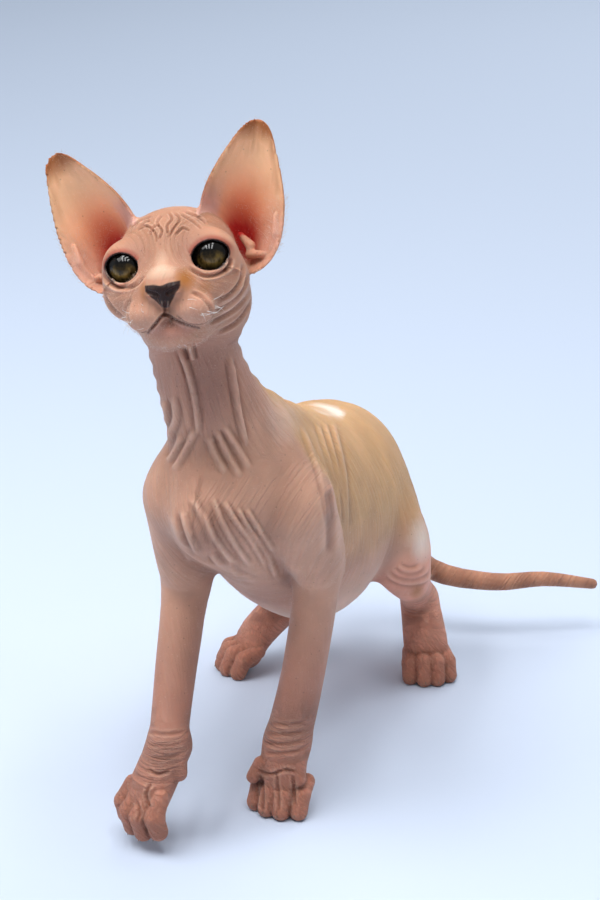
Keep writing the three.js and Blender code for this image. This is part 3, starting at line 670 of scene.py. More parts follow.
# Folds of the skin, as lines laid out in the photograph's pixels
def fan(start, end, spread_start, spread_end, count, bow=(0, 0)):
    start, end, bow = vec(*start), vec(*end), vec(*bow)
    lines = []
    for n in range(count):
        t = n / (count - 1) - 0.5
        a, b = start + vec(*spread_start) * t, end + vec(*spread_end) * t
        lines.append([a, (a + b) / 2 + bow, b])
    return lines


ARC_STEPS = 5


def arc(centre, radius, first, last, squash):
    turns = [radians(first + (last - first) * n / ARC_STEPS) for n in range(ARC_STEPS + 1)]
    return [(centre[0] + radius * math.cos(t), centre[1] + radius * squash * math.sin(t)) for t in turns]


NECK_CORDS = (
    [(178, 346), (188, 372), (195, 402), (199, 436)],
    [(229, 356), (234, 385), (239, 415), (247, 447)],
    [(189, 344), (191, 352), (193, 360)],
)
NECK_FOLDS = (
    [(172, 395), (176, 417), (168, 437), (160, 455)],
    [(196, 429), (186, 448), (173, 472)],
    [(216, 429), (226, 452), (241, 478)],
    [(222, 425), (236, 446), (250, 470)],
    [(164, 400), (164, 420), (156, 440)],
    [(182, 436), (176, 450), (168, 462)],
    [(208, 436), (216, 456), (226, 474)],
)
CHEST_FOLDS = (
    [(172, 515), (180, 540), (192, 562)],
    [(182, 510), (188, 532), (198, 556)],
    [(192, 498), (204, 520), (214, 545)],
)
BREAST_FOLDS = (
    [(213, 497), (221, 520), (235, 545), (252, 568)],
    [(223, 500), (236, 521), (253, 543), (269, 571)],
    [(235, 505), (248, 527), (265, 551), (279, 583)],
    [(205, 509), (211, 530), (223, 551), (238, 567)],
    [(245, 508), (259, 530), (274, 553)],
    [(210, 552), (222, 567), (240, 577)],
    [(226, 562), (238, 574), (256, 582)],
)
BROW_WRINKLES = (
    [(139, 230), (147, 226), (155, 233), (157, 243)],
    [(150, 220), (143, 224), (137, 231)],
    [(162, 215), (157, 223), (162, 231), (158, 241)],
    [(168, 212), (172, 219), (167, 226), (169, 236)],
    [(174, 213), (180, 219), (174, 228), (168, 239)],
    [(180, 214), (192, 221), (202, 229)],
    [(185, 212), (198, 217), (207, 224)],
    [(128, 230), (138, 222), (152, 216)],
    [(150, 236), (153, 228), (160, 224)],
    [(176, 235), (183, 228), (190, 231)],
)
CHEEK_FOLDS = (
    [(243, 262), (241, 280), (230, 294), (216, 301)],
    [(248, 272), (243, 291), (230, 304), (212, 312)],
    [(252, 284), (240, 304), (224, 316), (207, 324)],
    [(100, 268), (107, 281), (117, 287), (130, 284)],
    [(104, 296), (113, 309), (127, 321)],
    [(102, 306), (113, 318), (126, 330)],
    [(231, 258), (229, 266), (224, 272)],
    [(257, 266), (257, 286), (248, 308), (234, 324), (214, 334)],
    [(263, 262), (262, 284), (255, 306), (243, 324)],
    [(188, 267), (204, 276), (221, 273), (234, 261)],
    [(106, 277), (118, 288), (134, 286), (144, 275)],
)
PAD_CREASES = (
    [(131, 298), (127, 308), (127, 318), (131, 327)],
    [(190, 292), (203, 298), (211, 309), (212, 318)],
)
# Toe creases and the folds above the toes
TOE_CREASES = (
    [(262, 778), (263, 796), (262, 812)],
    [(276, 772), (278, 790), (279, 812)],
    [(293, 774), (294, 792), (295, 806)],
    [(256, 769), (270, 774), (284, 770), (298, 772)],
    [(136, 800), (140, 812), (137, 822)],
    [(152, 782), (146, 794), (150, 808)],
    [(147, 768), (158, 774), (170, 770)],
)
WRIST_CREASES = fan((266, 738), (304, 736), (-4, 30), (-2, 28), 4, (0, 2))
ANKLE_CREASES = fan((148, 744), (184, 742), (4, 26), (-4, 22), 3, (0, 3))
LIP_LINE = [(148, 333), (152, 328), (158, 321), (165, 314), (174, 319), (185, 324), (199, 328)]
LIP_LINES = (LIP_LINE, [(165, 300), (165, 307), (165, 317)])
ELBOW_CREASE = ([(326, 488), (330, 520), (330, 556)],)
FLANK_FOLDS = fan((316, 420), (338, 528), (30, -6), (16, 4), 5, (5, 0))
KNEE_FOLDS = [arc((410, 560), radius, 25, 155, 0.8) for radius in (14, 21, 28)]
# Each set of lines with its width in pixels and its height in millimetres; a crease has a height below nought
FOLD_SETS = (
    (LIP_LINES, 1.7, -0.8),
    (NECK_CORDS, 2.7, 2.1),
    (NECK_FOLDS, 3.2, 1.2),
    (CHEST_FOLDS, 3.2, 0.9),
    (BROW_WRINKLES, 1.3, -0.8),
    (CHEEK_FOLDS, 2.0, -1.0),
    (PAD_CREASES, 2.0, -0.7),
    (TOE_CREASES, 1.8, -1.0),
    (WRIST_CREASES, 2.0, -0.6),
    (ANKLE_CREASES, 2.0, -0.6),
    (BREAST_FOLDS, 2.7, 1.1),
    (FLANK_FOLDS, 2.8, 0.9),
    (ELBOW_CREASE, 4.5, -1.0),
    (KNEE_FOLDS, 2.6, 0.9),
)
FAR_AWAY = 99.0


def line_distance(uv, points):
    path = curve(points, 4)
    best = np.full(len(uv), FAR_AWAY)
    along = np.zeros(len(uv))
    for n, (a, b) in enumerate(zip(path[:-1], path[1:])):
        way = b - a
        t = np.clip((uv - a) @ way / max(way @ way, 1e-6), 0, 1)
        far = np.linalg.norm(uv - a - t[:, None] * way, axis=1)
        closer = far < best
        best = np.where(closer, far, best)
        along = np.where(closer, (n + t) / (len(path) - 1), along)
    return best, along


# Raised or sunk skin along each line, with its two flanks the other way, and painted shade and painted
# highlight over the folds: shade on a ridge's flanks and in a crease, highlight on a ridge's crest and beside
# a crease
FOLD_MARGIN = 4
FOLD_ENDS = (0.0, 0.18)
FLANK_AT = 1.55
FLANK_WIDTH = 0.6
FLANK_HEIGHT = 0.45
FLANK_SHADE, RIDGE_HIGHLIGHT, FLANK_HIGHLIGHT = 0.9, 0.8, 0.6


def fold_heights(verts, normals):
    uv = to_picture(verts)
    seen = ramp(facing(verts, normals), 0.05, 0.35)
    total = np.zeros(len(verts))
    shade_and_highlight = np.zeros(len(verts))
    for points, width, height in [(line, *sizes) for lines, *sizes in FOLD_SETS for line in lines]:
        low, high = np.min(points, 0) - FOLD_MARGIN * width, np.max(points, 0) + FOLD_MARGIN * width
        here = ((uv > low) & (uv < high)).all(1) & (seen > 0)
        if not here.any():
            continue
        far, along = line_distance(uv[here], points)
        fade = ramp(along, *FOLD_ENDS) * ramp(1 - along, *FOLD_ENDS) * seen[here]
        swell = np.exp(-((far / width) ** 2)) * fade
        beside = np.exp(-(((far - FLANK_AT * width) / (FLANK_WIDTH * width)) ** 2)) * fade
        total[here] += height * (swell - FLANK_HEIGHT * beside)
        # Painted shade and painted highlight: a ridge is lit on its crest and shaded on its flanks, a crease
        # is shaded at its bottom and lit beside it
        ridge = beside * FLANK_SHADE - swell * RIDGE_HIGHLIGHT
        crease = swell - beside * FLANK_HIGHLIGHT
        shade_and_highlight[here] += min(1.0, abs(height)) * (ridge if height > 0 else crease)
    return total, np.clip(shade_and_highlight, -1, 1)


# How far a point lies down in a crease, which sets the painted shade there: nought on open skin, one at the
# bottom
CREASE_REACH = 1.8
CREASE_GAIN = 1.6


def creased(verts, normals):
    out = np.zeros(len(verts))
    for part in np.array_split(np.arange(len(verts)), SHARES):
        out[part] = 1 - skin(verts[part] + normals[part] * CREASE_REACH) / CREASE_REACH
    return np.clip(out * CREASE_GAIN, 0, 1)


# Waves of loose skin over the sides the photograph doesn't show; each band is where it starts and is full
TRUNK_WAVE, TRUNK_PITCH = 0.45, 0.55
NECK_WAVE, NECK_PITCH = 0.35, 0.9


def loose_waves(verts, normals):
    hidden = 1 - ramp(facing(verts, normals), -0.1, 0.3)
    y, z = verts[:, 1], verts[:, 2]
    trunk = ramp(z, 60, 90) * ramp(y, -60, -30) * (1 - ramp(y, 95, 120))
    neck = ramp(z, 170, 190) * (1 - ramp(z, 225, 240))
    bend = np.sin(z * 0.05) * 2 + np.sin(z * 0.13 + y * 0.05)
    trunk_wave = trunk * TRUNK_WAVE * np.sin(y * TRUNK_PITCH + bend)
    return hidden * (trunk_wave + neck * NECK_WAVE * np.sin(z * NECK_PITCH + y * 0.25))


# The squares of the face are cut in four, so that its small forms come out sharp
FACE_REACH = 46
FACE_FROM = -4


def refined(verts, quads, chosen):
    cut = chosen[quads].all(1)
    edges = np.sort(np.stack([quads, np.roll(quads, -1, 1)], -1), -1)
    keys = edges[..., 0] * len(verts) + edges[..., 1]
    wanted, place = np.unique(keys[cut], return_inverse=True)
    first, corner = len(verts), quads[cut]
    mids = first + place.reshape(-1, 4)
    centre = first + len(wanted) + np.arange(len(corner))
    middles = (verts[wanted // first] + verts[wanted % first]) / 2
    faces = []
    for n in range(4):
        faces += np.stack([corner[:, n], mids[:, n], centre, mids[:, n - 1]], 1).tolist()
    found = np.minimum(np.searchsorted(wanted, keys), len(wanted) - 1)
    split = wanted[found] == keys
    plain = ~cut & ~split.any(1)
    faces += quads[plain].tolist()
    for row in np.flatnonzero(~cut & ~plain):
        ring = []
        for n in range(4):
            ring.append(int(quads[row, n]))
            if split[row, n]:
                ring.append(first + int(found[row, n]))
        faces.append(ring)
    return np.concatenate([verts, middles, verts[corner].mean(1)]), faces


# Bands of the body in millimetres, each from where it starts to where it is full
BEHIND_CHEST = (-34, -16)
BEHIND_NECK = (-40, -20)
TORSO_ABOVE = (60, 92)
NECK_ABOVE = (164, 178)
CHEST_ABOVE = (96, 112)
LEG_ABOVE, LEG_BELOW, LEG_BEFORE = (46, 60), (92, 108), (110, 124)
WRIST_ABOVE, WRIST_BELOW = (24, 34), (42, 56)
PAW_BELOW = (22, 34)
TAIL_BEHIND = (122, 132)
HEAD_SPAN = 82
EAR_LINE = (38, 46)
DEPTHS = {"torso": 0.4, "neck": 0.5, "chest": 0.35, "leg": 0.22, "wrist": 1.1, "paw": 1.0, "tail": 0.6}
DEPTHS |= {"lids": 0.35, "face": 0.25, "ear": 0.1}
NECK_FOOT = vec(-4, -50, 184)
NECK_RADIUS = 20
LID_RING, FACE_RING = (0, 8), (22, 28)
LIDS_REACH = 26


# Fine wrinkles: how far across and along them each point lies, and how deep they are there.
# The factors in the table of regions lean the wrinkles or set them closer.
def wrinkle_field(verts):
    x, y, z = verts.T
    q = to_head(verts)
    at = np.where((q[:, 0] > 0)[:, None], eye_place(1), eye_place(-1))
    m = np.abs(q[:, :1]) * vec(1, 0, 0) + q * vec(0, 1, 1)
    ball = np.linalg.norm(m - at, axis=1)
    in_head = ramp(HEAD_SPAN - np.linalg.norm(q, axis=1), 0, 6) * ramp(q[:, 2], -40, -30)
    body = 1 - in_head
    on_ear = in_head * ramp(np.abs(q[:, 0]) + 0.7 * q[:, 2], *EAR_LINE)
    face = in_head * (1 - on_ear)
    from_neck = verts - NECK_FOOT
    neck_x = from_neck[:, 0] + from_neck[:, 2] * 0.12
    neck_y = from_neck[:, 1] + from_neck[:, 2] * 0.4
    neck_bend = np.arctan2(neck_x, -neck_y) * NECK_RADIUS
    torso = ramp(z, *TORSO_ABOVE) * ramp(y, *BEHIND_CHEST)
    neck = ramp(z, *NECK_ABOVE) * (1 - ramp(y, *BEHIND_NECK))
    chest = (1 - ramp(y, *BEHIND_CHEST)) * ramp(z, *CHEST_ABOVE) * (1 - ramp(z, *NECK_ABOVE))
    leg = (1 - ramp(z, *LEG_BELOW)) * ramp(z, *LEG_ABOVE) * (1 - ramp(y, *LEG_BEFORE))
    tail = ramp(y, *TAIL_BEHIND)
    wrist = (1 - ramp(z, *WRIST_BELOW)) * ramp(z, *WRIST_ABOVE) * (1 - tail)
    paws = (1 - ramp(z, *PAW_BELOW)) * (1 - tail)
    regions = (
        (DEPTHS["torso"] * torso * body, y + 7 * np.sin(z * 0.045), z),
        (DEPTHS["neck"] * neck * body, neck_bend, z),
        (DEPTHS["chest"] * chest, x - (z - 130) * 0.45 * np.sign(x), z),
        (DEPTHS["leg"] * leg, x + y * 0.8, z * 1.6),
        (DEPTHS["wrist"] * wrist, z, x + y),
        (DEPTHS["paw"] * paws, x * 1.1 + z * 0.6, (y + z) * 5),
        (DEPTHS["tail"] * tail, x - z * 0.6, y * 0.4),
        (DEPTHS["lids"] * face * ramp(LIDS_REACH - ball, *LID_RING), ball * 1.3, q[:, 0] + q[:, 2]),
        (DEPTHS["face"] * face * ramp(ball, *FACE_RING), q[:, 0] * 1.2 + q[:, 1] * 0.7, q[:, 2]),
        (DEPTHS["ear"] * on_ear, q[:, 0] * 1.4 + q[:, 2] * 0.4, q[:, 2]),
    )
    weight, across, along = (np.stack(column) for column in zip(*regions))
    order = np.argsort(weight, 0)
    pick, second = order[-1], order[-2]
    every = np.arange(len(verts))
    best = weight[pick, every]
    depth = best * np.clip((best - weight[second, every]) * 4, 0, 1)
    return np.stack([across[pick, every], along[pick, every], np.zeros(len(verts))], 1), depth


# Colours of the skin, written as they look on screen
def screen(red, green, blue):
    c = vec(red, green, blue) / 255
    return np.where(c <= 0.04045, c / 12.92, ((c + 0.055) / 1.055) ** 2.4)


PALE = screen(206, 156, 130)
FACE = screen(196, 142, 114)
# Painted shade on the throat under the chin
SHADE_UNDER_CHIN = screen(172, 118, 98)
PINK_BELLY = screen(232, 192, 170)
TAN = screen(204, 156, 106)
SHOULDER_PALE = screen(222, 188, 172)
LEG = screen(172, 120, 101)
PAW_BROWN = screen(194, 127, 102)
# Painted shade for creases, grooves and the flanks of folds, and painted highlight for the crests of folds
CREASE_SHADE = screen(104, 56, 40)
CREST_HIGHLIGHT = screen(240, 200, 176)
CREAM = screen(232, 204, 176)
WHITE = screen(246, 234, 222)
STAIN = screen(168, 104, 44)
LEATHER = screen(36, 13, 8)
# Painted shade in the mouth's slit and the philtrum's groove
LIP_SLIT_SHADE = screen(78, 38, 30)
BLACK_RIM = screen(16, 11, 10)
LID_RED = screen(160, 78, 58)
EAR_PEACH = screen(240, 192, 150)
EAR_RIM = screen(150, 80, 24)
# Painted light: the orange of light shining through the thin ear
EAR_PAINTED_GLOW = screen(216, 112, 70)
EAR_RED = screen(168, 12, 8)
INNER_WALL = screen(204, 154, 146)
EAR_BACK = screen(214, 158, 128)
TAIL_BROWN = screen(194, 138, 108)
TAIL_BAND = screen(150, 98, 76)
# Painted light lifting the hind legs out of the shade under the belly
HIND_PAINTED_LIGHT = screen(226, 156, 130)
BREAST_SHADE = screen(160, 112, 94)
THROAT_SHADE = screen(146, 100, 88)
TEMPLE = screen(176, 124, 108)
CROWN = screen(166, 116, 88)
PAD_PINK = screen(206, 160, 140)
LOWER_LIP = screen(190, 132, 118)
# Painted shadow under the overhanging whisker pads, over the mouth
PAD_SHADOW = screen(136, 86, 72)
LOW_EAR = screen(206, 154, 132)
DOWN_PALE = screen(248, 232, 214)


def blend(base, over, amount):
    return base + (over - base) * np.clip(amount, 0, 1)[:, None]


# Layers of colour laid one on another: each is its colour, where it lies and how strong it is
def painted(colour, layers):
    for tone, place, strength in layers:
        colour = blend(colour, tone, place * strength)
    return colour


# Patches placed in the photograph's pixels: colour, centre, radii and strength
PICTURE_SPOTS = (
    (SHOULDER_PALE, (284, 414), (20, 34), 0.6),
    (WHITE, (421, 540), (12, 26), 0.55),
)
BACK_PATCH = ((327, 410), (15, 8))
BACK_PATCH_LEAN = 1.6
BACK_PATCH_EDGE = 2.2
THIGH_STAIN = ((418, 592), (9, 10))
BREAST = ((205, 530), (50, 70))
THROAT = ((210, 395), (24, 62))
# Patches placed on the head: colour, whether it is on both halves, centre, radii and strength
UNDER_BLAZE = (
    (TEMPLE, True, (11, 22, 10), (7, 10, 11), 0.5),
    (CROWN, False, (0, 10, 20), (30, 30, 22), 0.8),
)
OVER_BLAZE = (
    (STAIN, False, (8.8, 30, -3.5), (5, 9, 5.5), 1.0),
    (STAIN, False, (-8.0, 30, -6), (2.5, 8, 5), 0.7),
    (STAIN, False, (15, 24, -8), (4, 8, 4), 0.5),
    (PAD_PINK, True, (9, 30, -17), (9, 12, 7), 0.5),
    (LOWER_LIP, True, (0, 30, -23.5), (11, 10, 4.5), 0.6),
)


# Where each colour of the body starts and where it is full, in millimetres up (z) and backwards (y)
BACK_Z, BACK_Y = (96, 134), (-34, -24)
BELLY_Z, BELLY_Y, BELLY_FOOT = (70, 104), (-10, 20), (40, 58)
LEG_Z, PAW_Z = (50, 118), (14, 46)
CHIN_Z, CHIN_Y = (178, 212), (-52, -34)
HIND_Y, HIND_FOOT, HIND_Z = (50, 66), (8, 24), (74, 92)
TAIL_Y = (120, 132)
PATCH_Y = (-30, -20)
BLAZE_LOW, BLAZE_HIGH = ((0, 29, -0.5), (7.0, 7, 4.2)), ((0, 26, 3), (3.4, 8, 7))


def body_colours(verts, seen, uv):
    x, y, z = verts.T
    ragged = 5 * np.sin(z * 0.11 + x * 0.07) + 3 * np.sin(z * 0.31 + 1.3)
    edge_z, edge_y = z + y * 0.3 + ragged * 0.6, y + (z - 150) * 0.25 + ragged * 0.5
    belly = (1 - ramp(z, *BELLY_Z)) * ramp(y, *BELLY_Y) * ramp(z, *BELLY_FOOT)
    tail = ramp(y, *TAIL_Y)
    band = 0.5 + 0.5 * np.sin(x * 0.42 + z * 0.12)
    leaned = uv - (uv[:, 1:] - BACK_PATCH[0][1]) * vec(BACK_PATCH_LEAN, 0)
    patch = np.clip(BACK_PATCH_EDGE * spot(leaned, *BACK_PATCH), 0, 1)
    layers = [
        (TAN, ramp(edge_z, *BACK_Z) * ramp(edge_y, *BACK_Y), 1.0),
        (PINK_BELLY, belly, 0.8),
        (LEG, (1 - ramp(z, *LEG_Z)) * (1 - belly), 1.0),
        (PAW_BROWN, 1 - ramp(z, *PAW_Z), 0.9),
        # Painted shade on the throat under the chin
        (SHADE_UNDER_CHIN, ramp(z, *CHIN_Z) * (1 - ramp(y, *CHIN_Y)), 0.6),
        # Painted light lifting the hind legs out of the shade under the belly
        (HIND_PAINTED_LIGHT, ramp(y, *HIND_Y) * ramp(z, *HIND_FOOT) * (1 - ramp(z, *HIND_Z)), 0.9),
        (BREAST_SHADE, seen * spot(uv, *BREAST), 0.4),
        (TAIL_BROWN, tail, 1.0),
        (TAIL_BAND, tail * band, 0.6),
    ]
    for tone, centre, radii, strength in PICTURE_SPOTS:
        layers.append((tone, seen * spot(uv, centre, radii), strength))
    layers += [(WHITE, seen * patch * ramp(y, *PATCH_Y), 1.0), (STAIN, seen * spot(uv, *THIGH_STAIN), 0.7)]
    return painted(np.tile(PALE, (len(verts), 1)), layers)


def face_colours(colour, q, m, in_head):
    def layers(spots):
        for tone, both, centre, radii, strength in spots:
            yield tone, in_head * spot(m if both else q, centre, radii), strength

    blaze = spot(m, *BLAZE_LOW) * 0.8 + spot(m, *BLAZE_HIGH) * 0.3
    middle = [(CREAM, in_head * blaze, 1.0)]
    return painted(colour, [(FACE, in_head, 1.0), *layers(UNDER_BLAZE), *middle, *layers(OVER_BLAZE)])


# The nose leather is a broad bar that narrows to the lip
NOSE_TOP = -3.6
NOSE_DIP, NOSE_DIP_WIDTH = 0.7, 2.0
NOSE_BAR = 2.2
NOSE_HALF_WIDTH = 7.3
NOSE_NARROWS = 0.825
NOSE_BOTTOM = -13.6


def nose_leather(q, m):
    drop = NOSE_TOP - NOSE_DIP * np.exp(-((q[:, 0] / NOSE_DIP_WIDTH) ** 2)) - q[:, 2]
    edge = np.minimum(drop * 1.3, NOSE_HALF_WIDTH - np.maximum(drop - NOSE_BAR, 0) * NOSE_NARROWS - m[:, 0])
    on_muzzle = ramp(q[:, 1], 26, 28) * ramp(-q[:, 2], 2.5, 3.0) * (q[:, 2] > NOSE_BOTTOM)
    return ramp(edge, -0.25, 0.35) * on_muzzle


# One at a middle and fading round it: h is the height up the ear, u runs from rim to rim
def haze(h, u, height, tall, middle, wide):
    return np.exp(-(((h - height) / tall) ** 2) - ((u - middle) / wide) ** 2)


BEHIND_SHEET, BEFORE_SHEET = -3.6, 7
EAR_FOOT, EAR_PAST_RIM, OFF_SKULL = -9, 1.15, 0.6
PEACH_H = (-8, 8)
WALL_U, WALL_H = (-0.62, -0.45), (12, 26)
LINE_INSIDE_RIM, LINE_WIDTH, LINE_START_H, LINE_END_H = 0.86, 0.035, (8, 20), (42, 46)
RIM_U, RIM_H, TIP_H = (0.9, 1.02), (4, 20), (38, 46)
POUCH_H, POUCH_TALL, POUCH_U = 4, 13, (0.4, 0.8)
RED_GAIN = 1.5
# How much painted light the ear's front gives off, and more of it in the orange middle
SHINE, GLOW_SHINE = 0.05, 0.08


def ear_colours(colour, q, m, in_head):
    painted_ear_light = np.zeros_like(colour)
    for sign in (1, -1):
        mine = in_head & ((q[:, 0] > 0) == (sign > 0)) & (m[:, 2] > -8)
        r = ear_frame_point(m, sign)
        h = r[:, 2]
        inner, outer, depth = ear_row(h)
        half = np.maximum((outer - inner) / 2, 0.5)
        u = (r[:, 0] - (inner + outer) / 2) / half
        cup = EAR_FRONT - depth * (1 - np.clip(u, -1, 1) ** 2)
        before = r[:, 1] - cup
        on_ear = mine & (before > BEHIND_SHEET) & (before < BEFORE_SHEET)
        on_ear &= (np.abs(u) < EAR_PAST_RIM) & (h > EAR_FOOT) & (ellipsoid(m, SKULL) > OFF_SKULL)
        front = on_ear & (r[:, 1] > cup)
        wall = (1 - ramp(u, *WALL_U)) * (1 - ramp(h, *WALL_H))
        # The orange middle is painted light shining through the ear
        glow = haze(h, u, 12, 14, 0.02, 0.6) * (1 - wall)
        deep = haze(h, u, 1, 10, 0.05, 0.48)
        pouch = np.exp(-(((h - POUCH_H) / POUCH_TALL) ** 2)) * ramp(u, *POUCH_U)
        line = np.exp(-(((np.abs(u) - LINE_INSIDE_RIM) / LINE_WIDTH) ** 2))
        line *= ramp(h, *LINE_START_H) * (1 - ramp(h, *LINE_END_H))
        rim = ramp(np.abs(u), *RIM_U) * ramp(h, *RIM_H) + ramp(h, *TIP_H)
        layers = (
            (EAR_BACK, on_ear & ~front, 1.0),
            (EAR_PEACH, front * ramp(h, *PEACH_H), 1.0),
            (INNER_WALL, front * wall, 0.8),
            (EAR_PAINTED_GLOW, front * glow, 0.9),
            (EAR_RED, front * np.clip(deep * RED_GAIN, 0, 1), 1.0),
            (LOW_EAR, front * pouch, 1.0),
            (EAR_RIM, front * line, 0.55),
            (EAR_RIM, on_ear * np.clip(rim, 0, 1), 0.9),
        )
        colour = painted(colour, layers)
        # The ear's front gives off painted light, strongest in the orange middle
        shine = np.where(front, SHINE + GLOW_SHINE * glow, 0.0)
        painted_ear_light = painted_ear_light + colour * shine[:, None]
    return colour, painted_ear_light


# How rough the leather, the wet rims of the eyes and plain skin are
LEATHER_ROUGH, RIM_ROUGH, SKIN_ROUGH = 0.45, 0.2, 0.58
LIP_MIDDLE, LIP_SPAN, LIP_WIDTH, LIP_TOP = vec(173, 317), 34, 1.3, 312
PAD_SHADOW_SPOT = ((169, 322), (15, 7))
# The gap from the lids' edge over which the red and the black of the rim fade
NO_GAP = 9.0
RED_GAP, BLACK_GAP, WET_GAP = (0.9, 3.0), (0.35, 1.0), 0.8
RED_BELOW, RED_ABOVE = 0.35, 0.6
RIM_REACH = 3
GROOVE_FADE = (0.0, 0.6)


def lip_colours(colour, uv, seen, in_head):
    # Painted shadow under the overhanging whisker pads
    under = seen * spot(uv, *PAD_SHADOW_SPOT) * (uv[:, 1] > LIP_TOP)
    colour = blend(colour, PAD_SHADOW, under * 0.6)
    # Painted shade along the mouth's slit and down the philtrum's groove
    near_lip = in_head & (np.abs(uv - LIP_MIDDLE) < LIP_SPAN).all(1)
    for line in LIP_LINES:
        far = np.full(len(uv), FAR_AWAY)
        far[near_lip] = line_distance(uv[near_lip], line)[0]
        colour = blend(colour, LIP_SLIT_SHADE, seen * np.exp(-((far / LIP_WIDTH) ** 2)) * 0.85)
    return blend(colour, THROAT_SHADE, seen * spot(uv, *THROAT) * 0.45)


def eye_rim_colours(colour, q, m, in_head):
    at = np.where((q[:, 0] > 0)[:, None], eye_place(1), eye_place(-1))
    gap = np.full(len(q), NO_GAP)
    gap[in_head] = lid_opening(m[in_head], at[in_head])
    round_eye = in_head & (np.linalg.norm(m - at, axis=1) < EYE_RADIUS + RIM_REACH)
    round_eye &= (m - at) @ GAZE > 0
    above = ramp((m - at) @ GAZE_UP, -1, 3)
    red = round_eye * (1 - ramp(gap, *RED_GAP)) * (RED_BELOW + RED_ABOVE * above)
    black = round_eye * (1 - ramp(gap, *BLACK_GAP))
    return painted(colour, ((LID_RED, red, 1.0), (BLACK_RIM, black, 1.0))), round_eye & (gap < WET_GAP)


def skin_colours(verts, normals, shade_and_highlight, deep):
    uv = to_picture(verts)
    seen = ramp(facing(verts, normals), 0, 0.3)
    q = to_head(verts)
    m = q.copy()
    m[:, 0] = np.abs(m[:, 0])
    in_head = (np.linalg.norm(q, axis=1) < HEAD_SPAN) & (q[:, 2] > -34)
    colour = body_colours(verts, seen, uv)
    jaw = ramp(q[:, 2] + np.abs(q[:, 1]) * 0.1, -34, -22)
    colour = blend(colour, face_colours(colour, q, m, in_head * 1.0), in_head * jaw)
    # Painted shade in the grooves of the mouth, the philtrum and the nostrils
    grooves = np.full(len(verts), NO_GAP)
    grooves[in_head] = np.min([capsule(m[in_head], a, b, [r, r]) for a, b, r in GROOVES], 0)
    colour = blend(colour, CREASE_SHADE, in_head * (1 - ramp(grooves, *GROOVE_FADE)) * 0.6)
    colour = lip_colours(colour, uv, seen, in_head)
    nose = nose_leather(q, m) * in_head
    colour = blend(colour, LEATHER, nose)
    colour, wet_rim = eye_rim_colours(colour, q, m, in_head)
    colour, painted_ear_light = ear_colours(colour, q, m, in_head)
    # Painted shade in the creases and beside the folds, with less of the creases' shade on the head, and
    # painted highlight on the folds' crests
    body = 1 - 0.75 * in_head
    colour = blend(colour, CREASE_SHADE, np.maximum(shade_and_highlight * 0.5, deep * 0.8 * body))
    colour = blend(colour, CREST_HIGHLIGHT, -shade_and_highlight * 0.5)
    rough = np.where(nose > 0.5, LEATHER_ROUGH, np.where(wet_rim, RIM_ROUGH, SKIN_ROUGH))
    return colour, rough, painted_ear_light


# Blender pieces
def piece(name, verts, faces, finish):
    mesh = bpy.data.meshes.new(name)
    mesh.from_pydata([tuple(v) for v in verts], [], [tuple(int(n) for n in f) for f in faces])
    mesh.update()
    mesh.polygons.foreach_set("use_smooth", [True] * len(mesh.polygons))
    mesh.materials.append(finish)
    made = bpy.data.objects.new(name, mesh)
    bpy.context.scene.collection.objects.link(made)
    return made


def mark(made, name, values):
    if values.ndim == 1:
        made.data.attributes.new(name, "FLOAT", "POINT").data.foreach_set("value", values)
    elif name == "wrinkle" or name == "aim":
        made.data.attributes.new(name, "FLOAT_VECTOR", "POINT").data.foreach_set("vector", values.ravel())
    else:
        filled = np.hstack([values, np.ones((len(values), 1))])
        made.data.attributes.new(name, "FLOAT_COLOR", "POINT").data.foreach_set("color", filled.ravel())


# A piece's modifiers are worked into its own mesh
def bake(made):
    graph = bpy.context.evaluated_depsgraph_get()
    solid = bpy.data.meshes.new_from_object(made.evaluated_get(graph))
    made.modifiers.clear()
    made.data = solid
    return made


# Shader maths: a socket that adds Math nodes as it is worked with
class Value:
    def __init__(self, finish, socket):
        self.finish, self.socket = finish, socket

    def math(self, operation, first, second=0.0):
        return self.finish.add("ShaderNodeMath", {"operation": operation}, {0: first, 1: second})

    def __add__(self, other):
        return self.math("ADD", self, other)

    def __mul__(self, other):
        return self.math("MULTIPLY", self, other)

    def __sub__(self, other):
        return self.math("SUBTRACT", self, other)

    def __rsub__(self, other):
        return self.math("SUBTRACT", other, self)

    def __abs__(self):
        return self.math("ABSOLUTE", self)

    __radd__ = __add__
    __rmul__ = __mul__

    def least(self, other):
        return self.math("MINIMUM", self, other)


